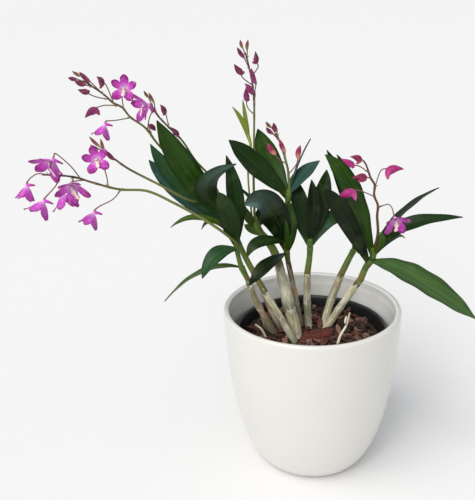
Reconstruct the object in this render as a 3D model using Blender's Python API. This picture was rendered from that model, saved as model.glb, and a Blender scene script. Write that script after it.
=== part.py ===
"""Potted pink rock orchid.

A white glazed cachepot holds a black nursery pot full of bark. Seven leafy canes and one old
bare cane stand in the bark, with seven flower spikes, eleven open flowers and a young shoot.

Sizes and places are in millimetres and become metres when a mesh is made. The origin is the
middle of the cachepot's foot, +Z is up, and the side that is looked at faces -Y.
"""

import math
import random

import bmesh
import bpy
from mathutils import Vector

MM = 0.001
SEED = 41

# Gap left between two bodies that touch
TOUCH_GAP = 0.3

# Cachepot: an egg-cup curve from a flat foot to a rounded lip
POT_HEIGHT = 168.0
POT_RADIUS = 87.5
POT_FOOT_RADIUS = 48.0
POT_CURVE = 1.93
POT_ROUNDNESS = 1.84
POT_WALL = 5.5
POT_FLOOR = 6.0
POT_LEDGE_DEPTH = 10.0
POT_LEDGE = 0.9
POT_SEGMENTS = 32

# Nursery pot: a tapered thin wall with a rolled rim
NURSERY_FLOOR_Z = POT_FLOOR + TOUCH_GAP
NURSERY_FOOT_RADIUS = 45.0
NURSERY_WALL_TOP_RADIUS = 72.6
NURSERY_WALL_TOP_Z = 138.5
NURSERY_RIM_RADIUS = 75.0
NURSERY_RIM_Z = 144.5
NURSERY_WALL = 1.4
NURSERY_SEGMENTS = 24

# Bark: a filled body, and loose chips on its top
BARK_TOP_Z = 134.0
BARK_GAP = 0.6
CHIP_COUNT = 8
CHIP_SPREAD = 60.0
STEM_DEPTH = 10.0
HOLE_PLAY = 0.5

# Leaves: thickness at the middle rib and at the edge, and the shape from foot to tip
LEAF_RIB = 1.1
LEAF_EDGE = 0.75
LEAF_OUTLINE = ((0.0, 0.2), (0.12, 0.5), (0.28, 0.84), (0.45, 1.0), (0.62, 0.95), (0.78, 0.7),
                (0.9, 0.4), (1.0, 0.05))
FULL_OUTLINE = ((0.0, 0.15), (0.15, 0.5), (0.35, 0.86), (0.55, 1.0), (0.75, 0.9), (0.88, 0.6),
                (1.0, 0.05))

# Flowers: a hub with a chin under it, five tepals, a lip and a column
TEPAL_THICKNESS = 0.8
LIP_CLOSING = 33.0
HUB_RADIUS = 1.6
HUB_BACK = 4.3
TEPALS = (
    # turn round the hub in degrees, length, width, lift out of the flat in degrees, height on the hub
    (90.0, 15.3, 7.2, 37.0, -0.414),
    (28.0, 14.6, 6.4, 33.0, -0.067),
    (152.0, 14.6, 6.4, 33.0, 0.011),
    (-48.0, 16.0, 7.6, 38.0, -0.488),
    (-132.0, 16.0, 7.6, 38.0, -0.254),
)

# Radius of the thin stalks that carry flowers and buds
SIDE_STALK = 0.55

# Colours
POT_WHITE = (0.86, 0.85, 0.82)
NURSERY_BLACK = (0.012, 0.012, 0.013)
BARK_BROWN = (0.09, 0.035, 0.02)
CANE_STRAW = (0.42, 0.40, 0.28)
OLD_CANE_BROWN = (0.30, 0.18, 0.11)
LEAF_GREEN = (0.03, 0.10, 0.02)
YOUNG_GREEN = (0.30, 0.42, 0.08)
STALK_OLIVE = (0.10, 0.08, 0.03)
PETAL_PINK = (0.58, 0.08, 0.45)
LIP_WHITE = (0.85, 0.80, 0.72)
ROOT_IVORY = (0.80, 0.76, 0.66)


# Points and curves

def between(start, end, share):
    """The point at a share of the way from start to end."""
    return start + (end - start) * share


def curve_point(before, start, end, after, share):
    """A point of a smooth curve that passes through start and end."""
    square = share * share
    cube = square * share
    return 0.5 * (2.0 * start + (end - before) * share
                  + (2.0 * before - 5.0 * start + 4.0 * end - after) * square
                  + (3.0 * start - before - 3.0 * end + after) * cube)


def point_along(line, share):
    """The point at a share of the length of a line of points."""
    steps = [(b - a).length for a, b in zip(line, line[1:])]
    left = sum(steps) * share
    for start, end, step in zip(line, line[1:], steps):
        if left <= step or end is line[-1]:
            return between(start, end, min(1.0, left / step))
        left -= step
    return line[-1]


def smooth_path(points, count):
    """Evenly spaced points of a smooth curve through the given points."""
    marks = [Vector(point) for point in points]
    marks = [marks[0] * 2.0 - marks[1]] + marks + [marks[-1] * 2.0 - marks[-2]]
    dense = []
    for i in range(1, len(marks) - 2):
        for step in range(12):
            dense.append(curve_point(marks[i - 1], marks[i], marks[i + 1], marks[i + 2], step / 12.0))
    dense.append(marks[-2])
    return [point_along(dense, i / (count - 1.0)) for i in range(count)]


def arch_path(foot, middle, tip, count):
    """Points of an arch from foot to tip that passes through the middle."""
    foot = Vector(foot)
    middle = Vector(middle)
    tip = Vector(tip)
    pull = middle * 2.0 - (foot + tip) * 0.5
    points = []
    for i in range(count):
        share = i / (count - 1.0)
        points.append(between(between(foot, pull, share), between(pull, tip, share), share))
    return points


def directions(path):
    """The direction of travel at each point of a path."""
    found = []
    for i in range(len(path)):
        ahead = path[min(i + 1, len(path) - 1)]
        behind = path[max(i - 1, 0)]
        found.append((ahead - behind).normalized())
    return found


def value_at(table, share):
    """A value read from pairs of (share, value), straight between them."""
    for (low, first), (high, second) in zip(table, table[1:]):
        if share <= high:
            return first + (second - first) * (share - low) / (high - low)
    return table[-1][1]


def spread(values):
    """Pairs of (share, value) for values at even distances."""
    last = len(values) - 1.0
    return [(i / last, value) for i, value in enumerate(values)]


# Skins: each is a list of points and a list of faces

def skin_of_rings(rings, steady=False):
    """Closed skin through rings of equally many points, with both ends closed.

    A steady skin has its side faces split into triangles, the first half one way and the
    second half the other way, so the front and back of a thin blade match.
    """
    size = len(rings[0])
    points = [point for ring in rings for point in ring]
    faces = [tuple(reversed(range(size)))]
    for i in range(len(rings) - 1):
        for j in range(size):
            a = i * size + j
            b = i * size + (j + 1) % size
            c = b + size
            d = a + size
            if not steady:
                faces.append((a, b, c, d))
            elif j < size // 2:
                faces.append((a, b, c))
                faces.append((a, c, d))
            else:
                faces.append((a, b, d))
                faces.append((b, c, d))
    start = (len(rings) - 1) * size
    faces.append(tuple(range(start, start + size)))
    return points, faces


def rod(path, radii, sides, start=None, end=None):
    """Skin of a round stalk along a path, with radii at even distances.

    Start and end are the ways its two flat ends are square to, where they differ from the path.
    """
    table = spread(radii)
    ways = directions(path)
    ways[0] = start or ways[0]
    ways[-1] = end or ways[-1]
    rings = []
    side = None
    for i, (centre, along) in enumerate(zip(path, ways)):
        if side is None:
            side = along.orthogonal()
        side = (side - along * side.dot(along)).normalized()
        up = along.cross(side)
        radius = value_at(table, i / (len(path) - 1.0))
        ring = []
        for k in range(sides):
            angle = 2.0 * math.pi * k / sides
            ring.append(centre + side * (radius * math.cos(angle)) + up * (radius * math.sin(angle)))
        rings.append(ring)
    return skin_of_rings(rings)


def blade(path, face, width, outline, fold=12.0, rib=LEAF_RIB, edge=LEAF_EDGE):
    """Skin of a leaf along a path: a folded blade, thicker at the middle rib."""
    face = Vector(face).normalized()
    slope = math.radians(fold)
    rings = []
    for i, (centre, along) in enumerate(zip(path, directions(path))):
        normal = (face - along * face.dot(along)).normalized()
        side = normal.cross(along)
        half = max(0.5 * width * value_at(outline, i / (len(path) - 1.0)), 0.45)
        out = side * (half * math.cos(slope))
        lift = normal * (half * math.sin(slope))
        thick = normal * (0.5 * rib)
        thin = normal * (0.5 * edge)
        rings.append([
            centre + out + lift + thin,
            centre + thick,
            centre - out + lift + thin,
            centre - out + lift - thin,
            centre - thick,
            centre + out + lift - thin,
        ])
    return skin_of_rings(rings, steady=True)


def turned(profile, segments):
    """Skin of a turned body: the profile is a closed loop of (radius, height), outside upwards."""
    points = []
    index = []
    for radius, height in profile:
        if radius == 0.0:
            index.append([len(points)] * segments)
            points.append(Vector((0.0, 0.0, height)))
            continue
        index.append(list(range(len(points), len(points) + segments)))
        for k in range(segments):
            angle = 2.0 * math.pi * k / segments
            points.append(Vector((radius * math.cos(angle), radius * math.sin(angle), height)))
    faces = []
    for low, high in zip(index, index[1:]):
        for k in range(segments):
            n = (k + 1) % segments
            corners = []
            for corner in (low[k], low[n], high[n], high[k]):
                if corner not in corners:
                    corners.append(corner)
            faces.append(tuple(corners))
    return points, faces


def block(centre, size, turn, tilt, rng):
    """Skin of a rough chip: a box with each corner moved a little."""
    points = []
    for x, y, z in ((-1, -1, -1), (1, -1, -1), (1, 1, -1), (-1, 1, -1),
                    (-1, -1, 1), (1, -1, 1), (1, 1, 1), (-1, 1, 1)):
        corner = Vector((
            0.5 * size[0] * x * rng.uniform(0.7, 1.0),
            0.5 * size[1] * y * rng.uniform(0.7, 1.0),
            0.5 * size[2] * z * rng.uniform(0.75, 1.0),
        ))
        corner.z += corner.x * math.tan(math.radians(tilt))
        angle = math.radians(turn)
        points.append(Vector((
            corner.x * math.cos(angle) - corner.y * math.sin(angle),
            corner.x * math.sin(angle) + corner.y * math.cos(angle),
            corner.z,
        )) + Vector(centre))
    faces = [(3, 2, 1, 0), (4, 5, 6), (4, 6, 7), (0, 1, 5), (0, 5, 4), (1, 2, 6), (1, 6, 5),
             (2, 3, 7), (2, 7, 6), (3, 0, 4), (3, 4, 7)]
    return points, faces


# Bodies

def new_material(name, colour, roughness):
    """A plain material."""
    material = bpy.data.materials.new(name)
    material.use_nodes = True
    shader = material.node_tree.nodes["Principled BSDF"]
    shader.inputs["Base Color"].default_value = (*colour, 1.0)
    shader.inputs["Roughness"].default_value = roughness
    material.diffuse_color = (*colour, 1.0)
    return material


def new_body(name, skin, material):
    """An object with the skin, in metres."""
    points, faces = skin
    mesh = bpy.data.meshes.new(name)
    mesh.from_pydata([tuple(point * MM) for point in points], [], faces)
    mesh.update()
    body = bpy.data.objects.new(name, mesh)
    bpy.context.scene.collection.objects.link(body)
    body.data.materials.append(material)
    return body


def apply_boolean(body, skins, operation, solver):
    """Joins the skins to the body, or cuts them from it, as one step."""
    group = bpy.data.collections.new(body.name + ".pieces")
    bpy.context.scene.collection.children.link(group)
    for skin in skins:
        piece = new_body(body.name + ".piece", skin, body.data.materials[0])
        bpy.context.scene.collection.objects.unlink(piece)
        group.objects.link(piece)
    step = body.modifiers.new("shape", 'BOOLEAN')
    step.operation = operation
    step.operand_type = 'COLLECTION'
    step.collection = group
    step.solver = solver
    bpy.context.view_layer.update()
    graph = bpy.context.evaluated_depsgraph_get()
    shaped = bpy.data.meshes.new_from_object(body.evaluated_get(graph))
    body.modifiers.clear()
    body.data = shaped
    for piece in list(group.objects):
        bpy.data.objects.remove(piece, do_unlink=True)
    bpy.data.collections.remove(group)


def tidy_mesh(body):
    """Closes hair-thin gaps between points and leaves only triangles."""
    work = bmesh.new()
    work.from_mesh(body.data)
    bmesh.ops.remove_doubles(work, verts=work.verts, dist=0.000002)
    bmesh.ops.dissolve_degenerate(work, edges=work.edges, dist=0.000001)
    bmesh.ops.triangulate(work, faces=work.faces)
    work.to_mesh(body.data)
    work.free()


def is_closed(body):
    """Whether each edge of the body has exactly two faces."""
    work = bmesh.new()
    work.from_mesh(body.data)
    closed = all(len(edge.link_faces) == 2 for edge in work.edges)
    work.free()
    return closed


def joined(name, skins, material):
    """One closed body from skins that run into each other."""
    for solver in ('EXACT', 'MANIFOLD'):
        body = new_body(name, skins[0], material)
        if len(skins) > 1:
            apply_boolean(body, skins[1:], 'UNION', solver)
        tidy_mesh(body)
        if is_closed(body):
            return body
        bpy.data.objects.remove(body, do_unlink=True)
    raise ValueError(name + " doesn't close")


# Pots and bark

def pot_radius(height):
    """Outer radius of the cachepot at a height."""
    share = min(max(height / POT_HEIGHT, 0.0), 1.0)
    rise = (1.0 - (1.0 - share) ** POT_CURVE) ** (1.0 / POT_ROUNDNESS)
    return POT_FOOT_RADIUS + (POT_RADIUS - POT_FOOT_RADIUS) * rise


def make_cachepot():
    """White pot: one thick wall from foot to lip, with a fine ledge inside under the lip."""
    outside = [(0.0, 0.0), (POT_FOOT_RADIUS - 1.0, 0.0), (POT_FOOT_RADIUS + 3.0, 1.0)]
    for height in (5.0, 14.0, 32.0, 60.0, 96.0, 138.0):
        outside.append((pot_radius(height), height))
    lip = [
        (POT_RADIUS, POT_HEIGHT - 3.0),
        (POT_RADIUS - 1.4, POT_HEIGHT - 0.4),
        (POT_RADIUS - 4.0, POT_HEIGHT - 0.4),
        (POT_RADIUS - POT_WALL, POT_HEIGHT - 3.0),
    ]
    ledge = POT_HEIGHT - POT_LEDGE_DEPTH
    inside = [
        (pot_radius(ledge) - POT_WALL, ledge),
        (pot_radius(ledge) - POT_WALL - POT_LEDGE, ledge - 1.2),
    ]
    for height in (100.0, 48.0, 20.0):
        inside.append((pot_radius(height) - POT_WALL - POT_LEDGE, height))
    inside.append((pot_radius(9.0) - POT_WALL - 2.0, 8.5))
    inside.append((pot_radius(6.0) - POT_WALL - 7.0, POT_FLOOR))
    inside.append((0.0, POT_FLOOR))
    skin = turned(outside + lip + inside, POT_SEGMENTS)
    return joined("cachepot", [skin], new_material("cachepot", POT_WHITE, 0.25))


def nursery_inner_radius(height):
    """Inner radius of the nursery pot's wall at a height."""
    low = NURSERY_FLOOR_Z + NURSERY_WALL
    share = (height - low) / (NURSERY_WALL_TOP_Z - low)
    foot = NURSERY_FOOT_RADIUS - NURSERY_WALL
    return foot + (NURSERY_WALL_TOP_RADIUS - NURSERY_WALL - foot) * share


def make_nursery_pot():
    """Black pot: a tapered wall, a flat floor and a thicker rim."""
    profile = [
        (0.0, NURSERY_FLOOR_Z),
        (NURSERY_FOOT_RADIUS - 1.0, NURSERY_FLOOR_Z),
        (NURSERY_FOOT_RADIUS, NURSERY_FLOOR_Z + 1.0),
        (NURSERY_WALL_TOP_RADIUS, NURSERY_WALL_TOP_Z),
        (NURSERY_RIM_RADIUS, NURSERY_WALL_TOP_Z + 0.8),
        (NURSERY_RIM_RADIUS + 0.3, NURSERY_RIM_Z - 0.8),
        (NURSERY_RIM_RADIUS - 0.9, NURSERY_RIM_Z),
        (NURSERY_WALL_TOP_RADIUS - 0.4, NURSERY_RIM_Z - 0.7),
        (NURSERY_WALL_TOP_RADIUS - NURSERY_WALL, NURSERY_WALL_TOP_Z),
        (nursery_inner_radius(NURSERY_FLOOR_Z + NURSERY_WALL), NURSERY_FLOOR_Z + NURSERY_WALL),
        (0.0, NURSERY_FLOOR_Z + NURSERY_WALL),
    ]
    skin = turned(profile, NURSERY_SEGMENTS)
    return joined("nursery_pot", [skin], new_material("nursery_pot", NURSERY_BLACK, 0.45))


def make_bark(stems):
    """Bark: a filled body with chips on it, and a plain hole for each stem that stands in it."""
    low = NURSERY_FLOOR_Z + NURSERY_WALL + 0.5
    fill = turned([
        (0.0, low),
        (nursery_inner_radius(low) - BARK_GAP, low),
        (nursery_inner_radius(BARK_TOP_Z) - BARK_GAP, BARK_TOP_Z),
        (nursery_inner_radius(BARK_TOP_Z) - 6.0, BARK_TOP_Z + 1.0),
        (0.0, BARK_TOP_Z + 1.0),
    ], NURSERY_SEGMENTS)
    rng = random.Random(SEED)
    chips = [block((5.0, -9.0, 137.0), (30.0, 16.0, 9.0), 8.0, 4.0, rng)]
    for i in range(CHIP_COUNT):
        angle = 2.4 * i + rng.uniform(-0.2, 0.2)
        distance = CHIP_SPREAD * math.sqrt((i + 0.6) / CHIP_COUNT)
        centre = (distance * math.cos(angle), distance * math.sin(angle), rng.uniform(134.0, 136.5))
        size = (rng.uniform(11.0, 18.0), rng.uniform(8.0, 12.0), rng.uniform(5.0, 8.0))
        chips.append(block(centre, size, rng.uniform(0.0, 180.0), rng.uniform(-18.0, 18.0), rng))
    body = joined("bark", [fill] + chips, new_material("bark", BARK_BROWN, 0.9))
    holes = []
    for foot, along, radius in stems:
        start = foot - along * (STEM_DEPTH + 0.5)
        path = [start, foot, foot + along * 12.0]
        holes.append(rod(path, (radius + HOLE_PLAY, radius + HOLE_PLAY), 12))
    apply_boolean(body, holes, 'DIFFERENCE', 'EXACT')
    tidy_mesh(body)
    return body


# Canes: the line of each from the bark upwards, and radii at even distances from the foot

CANES = {
    "cane_a": ([(-39, 3, 138), (-54, -1, 172), (-63, -5, 200)],
               (4.2, 4.6, 4.0, 3.0, 3.3, 2.7, 2.8, 2.9, 2.6), 7),
    "cane_b": ([(-20, -15, 138), (-35, -12, 167), (-49, -8, 192)],
               (3.2, 3.3, 3.1, 3.4, 3.1, 3.0, 3.3, 3.0, 3.0), 7),
    "cane_old": ([(-31, 10, 138), (-41, 10, 161), (-49, 12, 182)],
                 (2.6, 2.8, 2.4, 2.7, 2.3, 2.4, 1.6), 6),
    "cane_c": ([(-15, -5, 138), (-24, 0, 175), (-32, 5, 212)],
               (5.2, 5.9, 6.2, 5.6, 6.1, 5.8, 5.4, 4.8, 4.4, 4.2), 8),
    "cane_d": ([(-9, 17, 138), (-16, 15, 178), (-22, 12, 210)],
               (2.8, 2.9, 2.5, 2.8, 3.0, 2.5, 2.6, 2.7, 2.6), 7),
    "cane_e": ([(-1, 14, 138), (-3, 12, 170), (-3, 10, 198)],
               (3.5, 3.7, 3.4, 3.7, 3.4, 3.5, 3.2, 3.2), 7),
    "cane_f": ([(17, 24, 138), (25, 30, 161), (35, 35, 185)],
               (3.4, 3.8, 3.6, 4.0, 3.8, 3.9, 3.5, 3.4), 7),
    "cane_g": ([(16, 6, 138), (32, 3, 167), (48, 0, 193)],
               (3.4, 3.6, 3.3, 3.6, 3.3, 3.5, 3.2, 3.3), 7),
}


def make_canes():
    """All canes; returns each foot, for the holes in the bark, and each top, for its shoot."""
    tops = {}
    straw = new_material("cane", CANE_STRAW, 0.6)
    brown = new_material("cane_old", OLD_CANE_BROWN, 0.75)
    stems = []
    for name, (points, radii, sides) in CANES.items():
        path = smooth_path(points, len(radii))
        along = (path[1] - path[0]).normalized()
        buried = path[0] - along * STEM_DEPTH
        skin = rod([buried] + path, (radii[0],) + radii, sides)
        joined(name, [skin], brown if name == "cane_old" else straw)
        stems.append((path[0], along, max(radii[0], radii[1])))
        tops[name] = (path[-1], (path[-1] - path[-2]).normalized())
    return stems, tops


ROOTS = {
    "root_left": [(-47, -5, 138), (-51, -6, 145), (-56, -7, 151)],
    "root_right": [(24, -23, 138), (29, -21, 153), (35, -19, 166)],
}


def make_roots():
    """Ivory aerial roots that grow out of the bark."""
    ivory = new_material("root", ROOT_IVORY, 0.7)
    stems = []
    for name, points in ROOTS.items():
        path = smooth_path(points, 6)
        along = (path[1] - path[0]).normalized()
        skins = [rod([path[0] - along * STEM_DEPTH] + path, (1.7, 1.7, 1.7, 1.6, 1.5, 1.4, 0.9), 6)]
        if name == "root_right":
            fork = smooth_path([tuple(path[4]), (31, -23, 164), (30, -24, 156)], 4)
            skins.append(rod(fork, (1.3, 1.3, 1.1, 0.8), 6))
        joined(name, skins, ivory)
        stems.append((path[0], along, 1.7))
    return stems


# Shoots: the green top of each cane. A leaf has the share of the shoot's length where it
# starts, a middle point, a tip, a width, the way its upper side faces, its fold, and an
# outline where it differs from the common one.

SHOOTS = {
    "shoot_a": {
        "line": [(-69, -8, 216), (-72, -11, 232), (-73, -12, 243)],
        "radii": (2.6, 2.7, 2.4, 2.2, 2.1),
        "leaves": [
            (0.88, (-72, -2, 279), (-79, 4, 320), 17, (0.15, -0.9, 0.4), 14),
            (0.84, (-79, -20, 271), (-87, -24, 293), 20, (-0.1, -0.95, 0.2), 14),
            (0.78, (-91, -26, 233), (-105, -34, 214), 18, (-0.3, -0.6, 0.75), 14),
            (0.3, (-106, -4, 209), (-146, 4, 175), 12, (-0.3, -0.1, 0.9), 10),
        ],
    },
    "shoot_b": {
        "line": [(-62, 2, 215), (-74, 9, 241), (-85, 14, 268), (-86, 15, 272)],
        "radii": (3.0, 2.9, 2.8, 3.1, 3.4),
        "leaves": [
            (0.82, (-117, 3, 307), (-139, -8, 356), 27, (0.35, -0.85, 0.45), 12),
            (0.76, (-124, 16, 292), (-149, 14, 331), 18, (-0.2, -0.8, 0.5), 10),
            (0.7, (-124, 27, 280), (-154, 32, 312), 20, (-0.35, -0.6, 0.7), 12),
            (0.86, (-98, -4, 292), (-70, -6, 314), 22, (-0.2, 0.85, 0.5), 16),
            (0.65, (-106, 4, 261), (-135, 8, 251), 9, (-0.2, -0.4, 0.85), 12),
            (0.58, (-92, 12, 255), (-106, 16, 245), 8, (-0.4, -0.5, 0.6), 12),
        ],
    },
    "shoot_c": {
        "line": [(-38, 8, 227), (-51, 14, 244), (-55, 18, 255)],
        "radii": (4.2, 4.0, 3.7, 3.5, 3.6),
        "leaves": [
            (0.8, (-60, 11, 257), (-63, 8, 270), 9, (0.0, -0.8, 0.5), 14),
            (0.6, (-57, 14, 244), (-64, 18, 248), 8, (-0.4, -0.6, 0.6), 14),
            (0.75, (-50, 24, 251), (-49, 30, 262), 9, (0.2, -0.8, 0.5), 14),
        ],
    },
    "shoot_d": {
        "line": [(-24, 7, 229), (-24, 1, 259), (-22, -3, 287)],
        "radii": (2.6, 2.5, 2.4, 2.4, 2.4, 2.3),
        "leaves": [
            (0.16, (-40.5, -12, 272), (-64, -24, 280), 30, (-0.35, -0.75, 0.55), 14),
            (0.5, (-47, 4, 268), (-69, 6, 290), 9, (-0.4, -0.1, 0.9), 12),
            (0.13, (-45, -23, 220), (-62, -31, 204), 15, (-0.4, -0.7, 0.5), 14),
            (0.93, (-54, 0, 312), (-76, -6, 336), 22, (0.3, -0.8, 0.5), 12),
            (0.3, (-51, -10, 239), (-62, -16, 227), 12, (-0.3, -0.8, 0.5), 12),
            (0.88, (-39, 14, 312), (-49, 18, 341), 22, (0.1, -0.9, 0.4), 12),
            (0.95, (-8, 12, 297), (10, 26, 307), 17, (-0.25, -0.5, 0.85), 10),
            (0.9, (-12, 16, 305), (2, 34, 327), 7, (-0.75, 0.1, 0.6), 8),
            (0.12, (-21, -6, 251), (-22, -6, 277), 13, (0.2, -0.9, 0.3), 12),
        ],
    },
    "shoot_e": {
        "line": [(-1, 8, 218), (-1, 6, 235)],
        "radii": (3.2, 3.0, 2.7, 2.4),
        "leaves": [
            (0.95, (1, 0, 266), (0, 6, 294), 14, (0.1, -0.9, 0.4), 14),
            (0.85, (10, 16, 267), (17, 26, 298), 19, (0.1, -0.9, 0.4), 12),
            (0.75, (19, 14, 252), (36, 22, 239), 16, (0.3, -0.6, 0.75), 12),
            (0.7, (-10, 20, 252), (-19, 28, 264), 13, (-0.3, -0.6, 0.7), 12),
            (0.9, (-10, 6, 268), (-13, 18, 290), 17, (-0.2, -0.9, 0.35), 14),
        ],
    },
    "shoot_f": {
        "line": [(46, 40, 205), (57, 43, 223)],
        "radii": (3.4, 3.2, 2.8, 2.4),
        "leaves": [
            (0.92, (45, 30, 272), (26, 24, 313), 13, (-0.2, -0.9, 0.4), 12),
            (0.84, (39, 50, 270), (20, 50, 312), 13, (-0.2, -0.9, 0.4), 12),
            (0.6, (49, 33, 216), (50, 27, 210), 8, (-0.1, -0.8, 0.5), 12),
        ],
    },
    "shoot_g": {
        "line": [(53, 0, 206), (59, 0, 215), (59, -1, 226)],
        "radii": (3.3, 3.2, 3.0, 2.8, 2.5),
        "leaves": [
            (0.7, (35, -8, 284), (12, 2, 318), 24, (0.35, -0.75, 0.6), 12),
            (0.5, (27, -22, 266), (6, -28, 294), 18, (-0.2, -0.85, 0.4), 12),
            (0.8, (64, -12, 236), (61, -16, 247), 8, (0.1, -0.9, 0.3), 12),
            (0.92, (88, 12, 256), (125, 20, 278), 13, (-0.5, -0.05, 0.85), 8),
            (0.85, (88, 1, 246), (142, -4, 255), 18, (-0.2, -0.45, 0.87), 14),
            (0.7, (82, 20, 228), (98, 32, 223), 8, (-0.2, -0.5, 0.8), 12),
            (0.6, (96, -22, 202), (153, -32, 162), 29, (0.3, -0.55, 0.78), 12, FULL_OUTLINE),
        ],
    },
}


def make_shoots(tops):
    """The leafy green tops, each set on its cane; returns the path of each."""
    green = new_material("leaf", LEAF_GREEN, 0.35)
    paths = {}
    for name, shoot in SHOOTS.items():
        foot, way = tops[name.replace("shoot", "cane")]
        start = foot + way * TOUCH_GAP
        path = smooth_path([tuple(start)] + shoot["line"], 8)
        paths[name] = path
        skins = [rod(path, shoot["radii"], 7, start=way)]
        for at, middle, tip, width, face, fold, *outline in shoot["leaves"]:
            foot = point_along(path, at)
            length = (Vector(tip) - foot).length
            line = arch_path(foot, middle, tip, 7 if length > 75.0 else 6 if length > 35.0 else 4)
            skins.append(blade(line, face, width, outline[0] if outline else LEAF_OUTLINE, fold))
        joined(name, skins, green)
    return paths


def make_young_shoot(paths):
    """A thin pale stem with two narrow leaves, standing on top of cane c."""
    start, way = seat_on(paths["shoot_c"], (-1.6, 1.6, 0.0))
    path = smooth_path([tuple(start), (-59, 23, 295), (-56, 22, 324), (-58, 22, 336)], 8)
    skins = [
        rod(path, (1.0, 0.9, 0.9, 1.3, 1.4), 5, start=way),
        blade(arch_path(path[6], (-62, 20, 346), (-72, 18, 362), 5), (-0.3, -0.8, 0.4), 5,
              LEAF_OUTLINE),
        blade(arch_path(path[6], (-60, 24, 350), (-62, 25, 367), 5), (0.4, -0.8, 0.3), 4.5,
              LEAF_OUTLINE),
    ]
    joined("young_shoot", skins, new_material("young_leaf", YOUNG_GREEN, 0.5))


def seat_on(path, aside):
    """A point a touch gap above the flat top of a shoot, moved aside, and the way that top faces."""
    way = (path[-1] - path[-2]).normalized()
    aside = Vector(aside)
    return path[-1] + aside - way * aside.dot(way) + way * TOUCH_GAP, way


# Flowers: the middle, the way the flower faces, the way its top tepal points, how many degrees
# it is more closed than a flat star, and its size against the commonest one

BLOOMS = {
    "1": ((-195.5, -46, 284), (-0.45, -0.25, -0.85), (-0.85, -0.2, 0.45), 20, 1.06),
    "2": ((-187, -48, 331), (0.05, -0.95, 0.25), (-0.25, 0.25, 0.93), 0, 1.0),
    "3": ((-209, -54, 312), (0.1, -0.8, -0.6), (-0.5, -0.4, 0.7), 2, 1.26),
    "4": ((-221, -42, 301), (0.2, -0.15, -0.95), (-0.9, -0.3, -0.2), 12, 1.24),
    "5": ((-234.5, -57, 299), (-0.45, -0.35, -0.8), (-0.88, -0.1, 0.45), 14, 1.2),
    "6": ((-224, -52, 333), (-0.35, -0.65, -0.66), (-0.8, -0.1, 0.55), 0, 1.34),
    "7": ((-250, -46, 310), (-0.2, -0.2, -0.95), (-0.95, 0.0, 0.2), 20, 1.0),
    "8": ((-165, -8, 384), (0.0, -0.97, 0.2), (0.12, 0.2, 0.97), 0, 1.0),
    "9": ((-145, -17, 371), (-0.8, -0.55, -0.2), (-0.25, 0.1, 0.95), 4, 1.14),
    "10": ((-186, -6, 353), (-0.35, -0.25, -0.9), (-0.9, -0.2, 0.4), 18, 1.0),
    "11": ((73, -24, 262), (0.1, -0.8, -0.55), (0.1, -0.5, 0.8), 0, 1.08),
}


def flower_axes(name):
    """Middle, side, top and face directions of a flower."""
    middle, face, top = BLOOMS[name][:3]
    face = Vector(face).normalized()
    top = Vector(top)
    top = (top - face * top.dot(face)).normalized()
    return Vector(middle), top.cross(face), top, face


def placed(name, x, y, z):
    """A point given in a flower's own directions."""
    middle, side, top, face = flower_axes(name)
    return middle + side * x + top * y + face * z


def stalk_end(name):
    """The point behind a flower where its stalk ends."""
    return placed(name, 0.0, 0.0, -HUB_BACK - TOUCH_GAP)


def tepal(name, turn, length, width, lift, level):
    """Skin of one tepal: a pointed blade that leaves the hub flat and then leans forward."""
    angle = math.radians(turn)
    closing, size = BLOOMS[name][3:]
    lean = math.radians(lift + closing)
    span = size * length * math.cos(lean)
    rise = size * length * math.sin(lean)
    out = Vector((math.cos(angle), math.sin(angle)))
    places = ((1.0, 0.0), (0.3 * span, 0.2 * rise), (0.68 * span, 0.68 * rise), (span, rise))
    halves = (0.16, 0.4, 0.48, 0.1)
    rings = []
    for (reach, height), half in zip(places, halves):
        across = Vector((-out.y, out.x)) * (half * width * size)
        ring = []
        for sign, depth in ((1, -0.5), (-1, -0.5), (-1, 0.5), (1, 0.5)):
            spot = out * reach + across * sign
            ring.append(placed(name, spot.x, spot.y, level + height + depth * TEPAL_THICKNESS))
        rings.append(ring)
    return skin_of_rings(rings)


def make_blooms():
    """Pink flowers, each with a hub, a chin below it and five tepals, and a separate lip."""
    pink = new_material("petal", PETAL_PINK, 0.45)
    white = new_material("lip", LIP_WHITE, 0.45)
    for name in BLOOMS:
        face = flower_axes(name)[3]
        closing, size = BLOOMS[name][3:]
        back = [placed(name, 0.0, 0.0, -HUB_BACK), placed(name, 0.0, 0.0, -1.8),
                placed(name, 0.0, 0.0, 0.6)]
        chin = [placed(name, 0.0, -0.3, -1.1), placed(name, 0.0, -6.8 * size, -2.0)]
        skins = [rod(back, (0.7, HUB_RADIUS, HUB_RADIUS), 5), rod(chin, (1.4, 0.6), 4)]
        skins.extend(tepal(name, *shape) for shape in TEPALS)
        joined("bloom_" + name, skins, pink)
        column = [placed(name, 0.0, 0.1, 0.65 + TOUCH_GAP), placed(name, 0.0, 0.5, 5.0)]
        fall = size * (1.0 - closing / LIP_CLOSING)
        scoop = [placed(name, 0.0, 0.0, 1.6), placed(name, 0.0, -2.4 * fall, 5.4 * size),
                 placed(name, 0.0, -6.6 * fall, 8.4 * size)]
        outline = ((0.0, 0.35), (0.5, 1.0), (1.0, 0.7))
        skins = [rod(column, (1.0, 0.9), 4, start=face), blade(scoop, face, 4.4 * size, outline, 18.0, 0.9, 0.8)]
        joined("lip_" + name, skins, white)


# Spikes: the shoot each stands on and how far aside of its middle, the line of the stalk above
# that and its radii, then its side stalks. Each side stalk has the share of the stalk's length
# where it starts, the points it passes, and what it carries: a flower's name, or a bud as
# (tip, heel, radius). A bud without a heel is straight.

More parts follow.
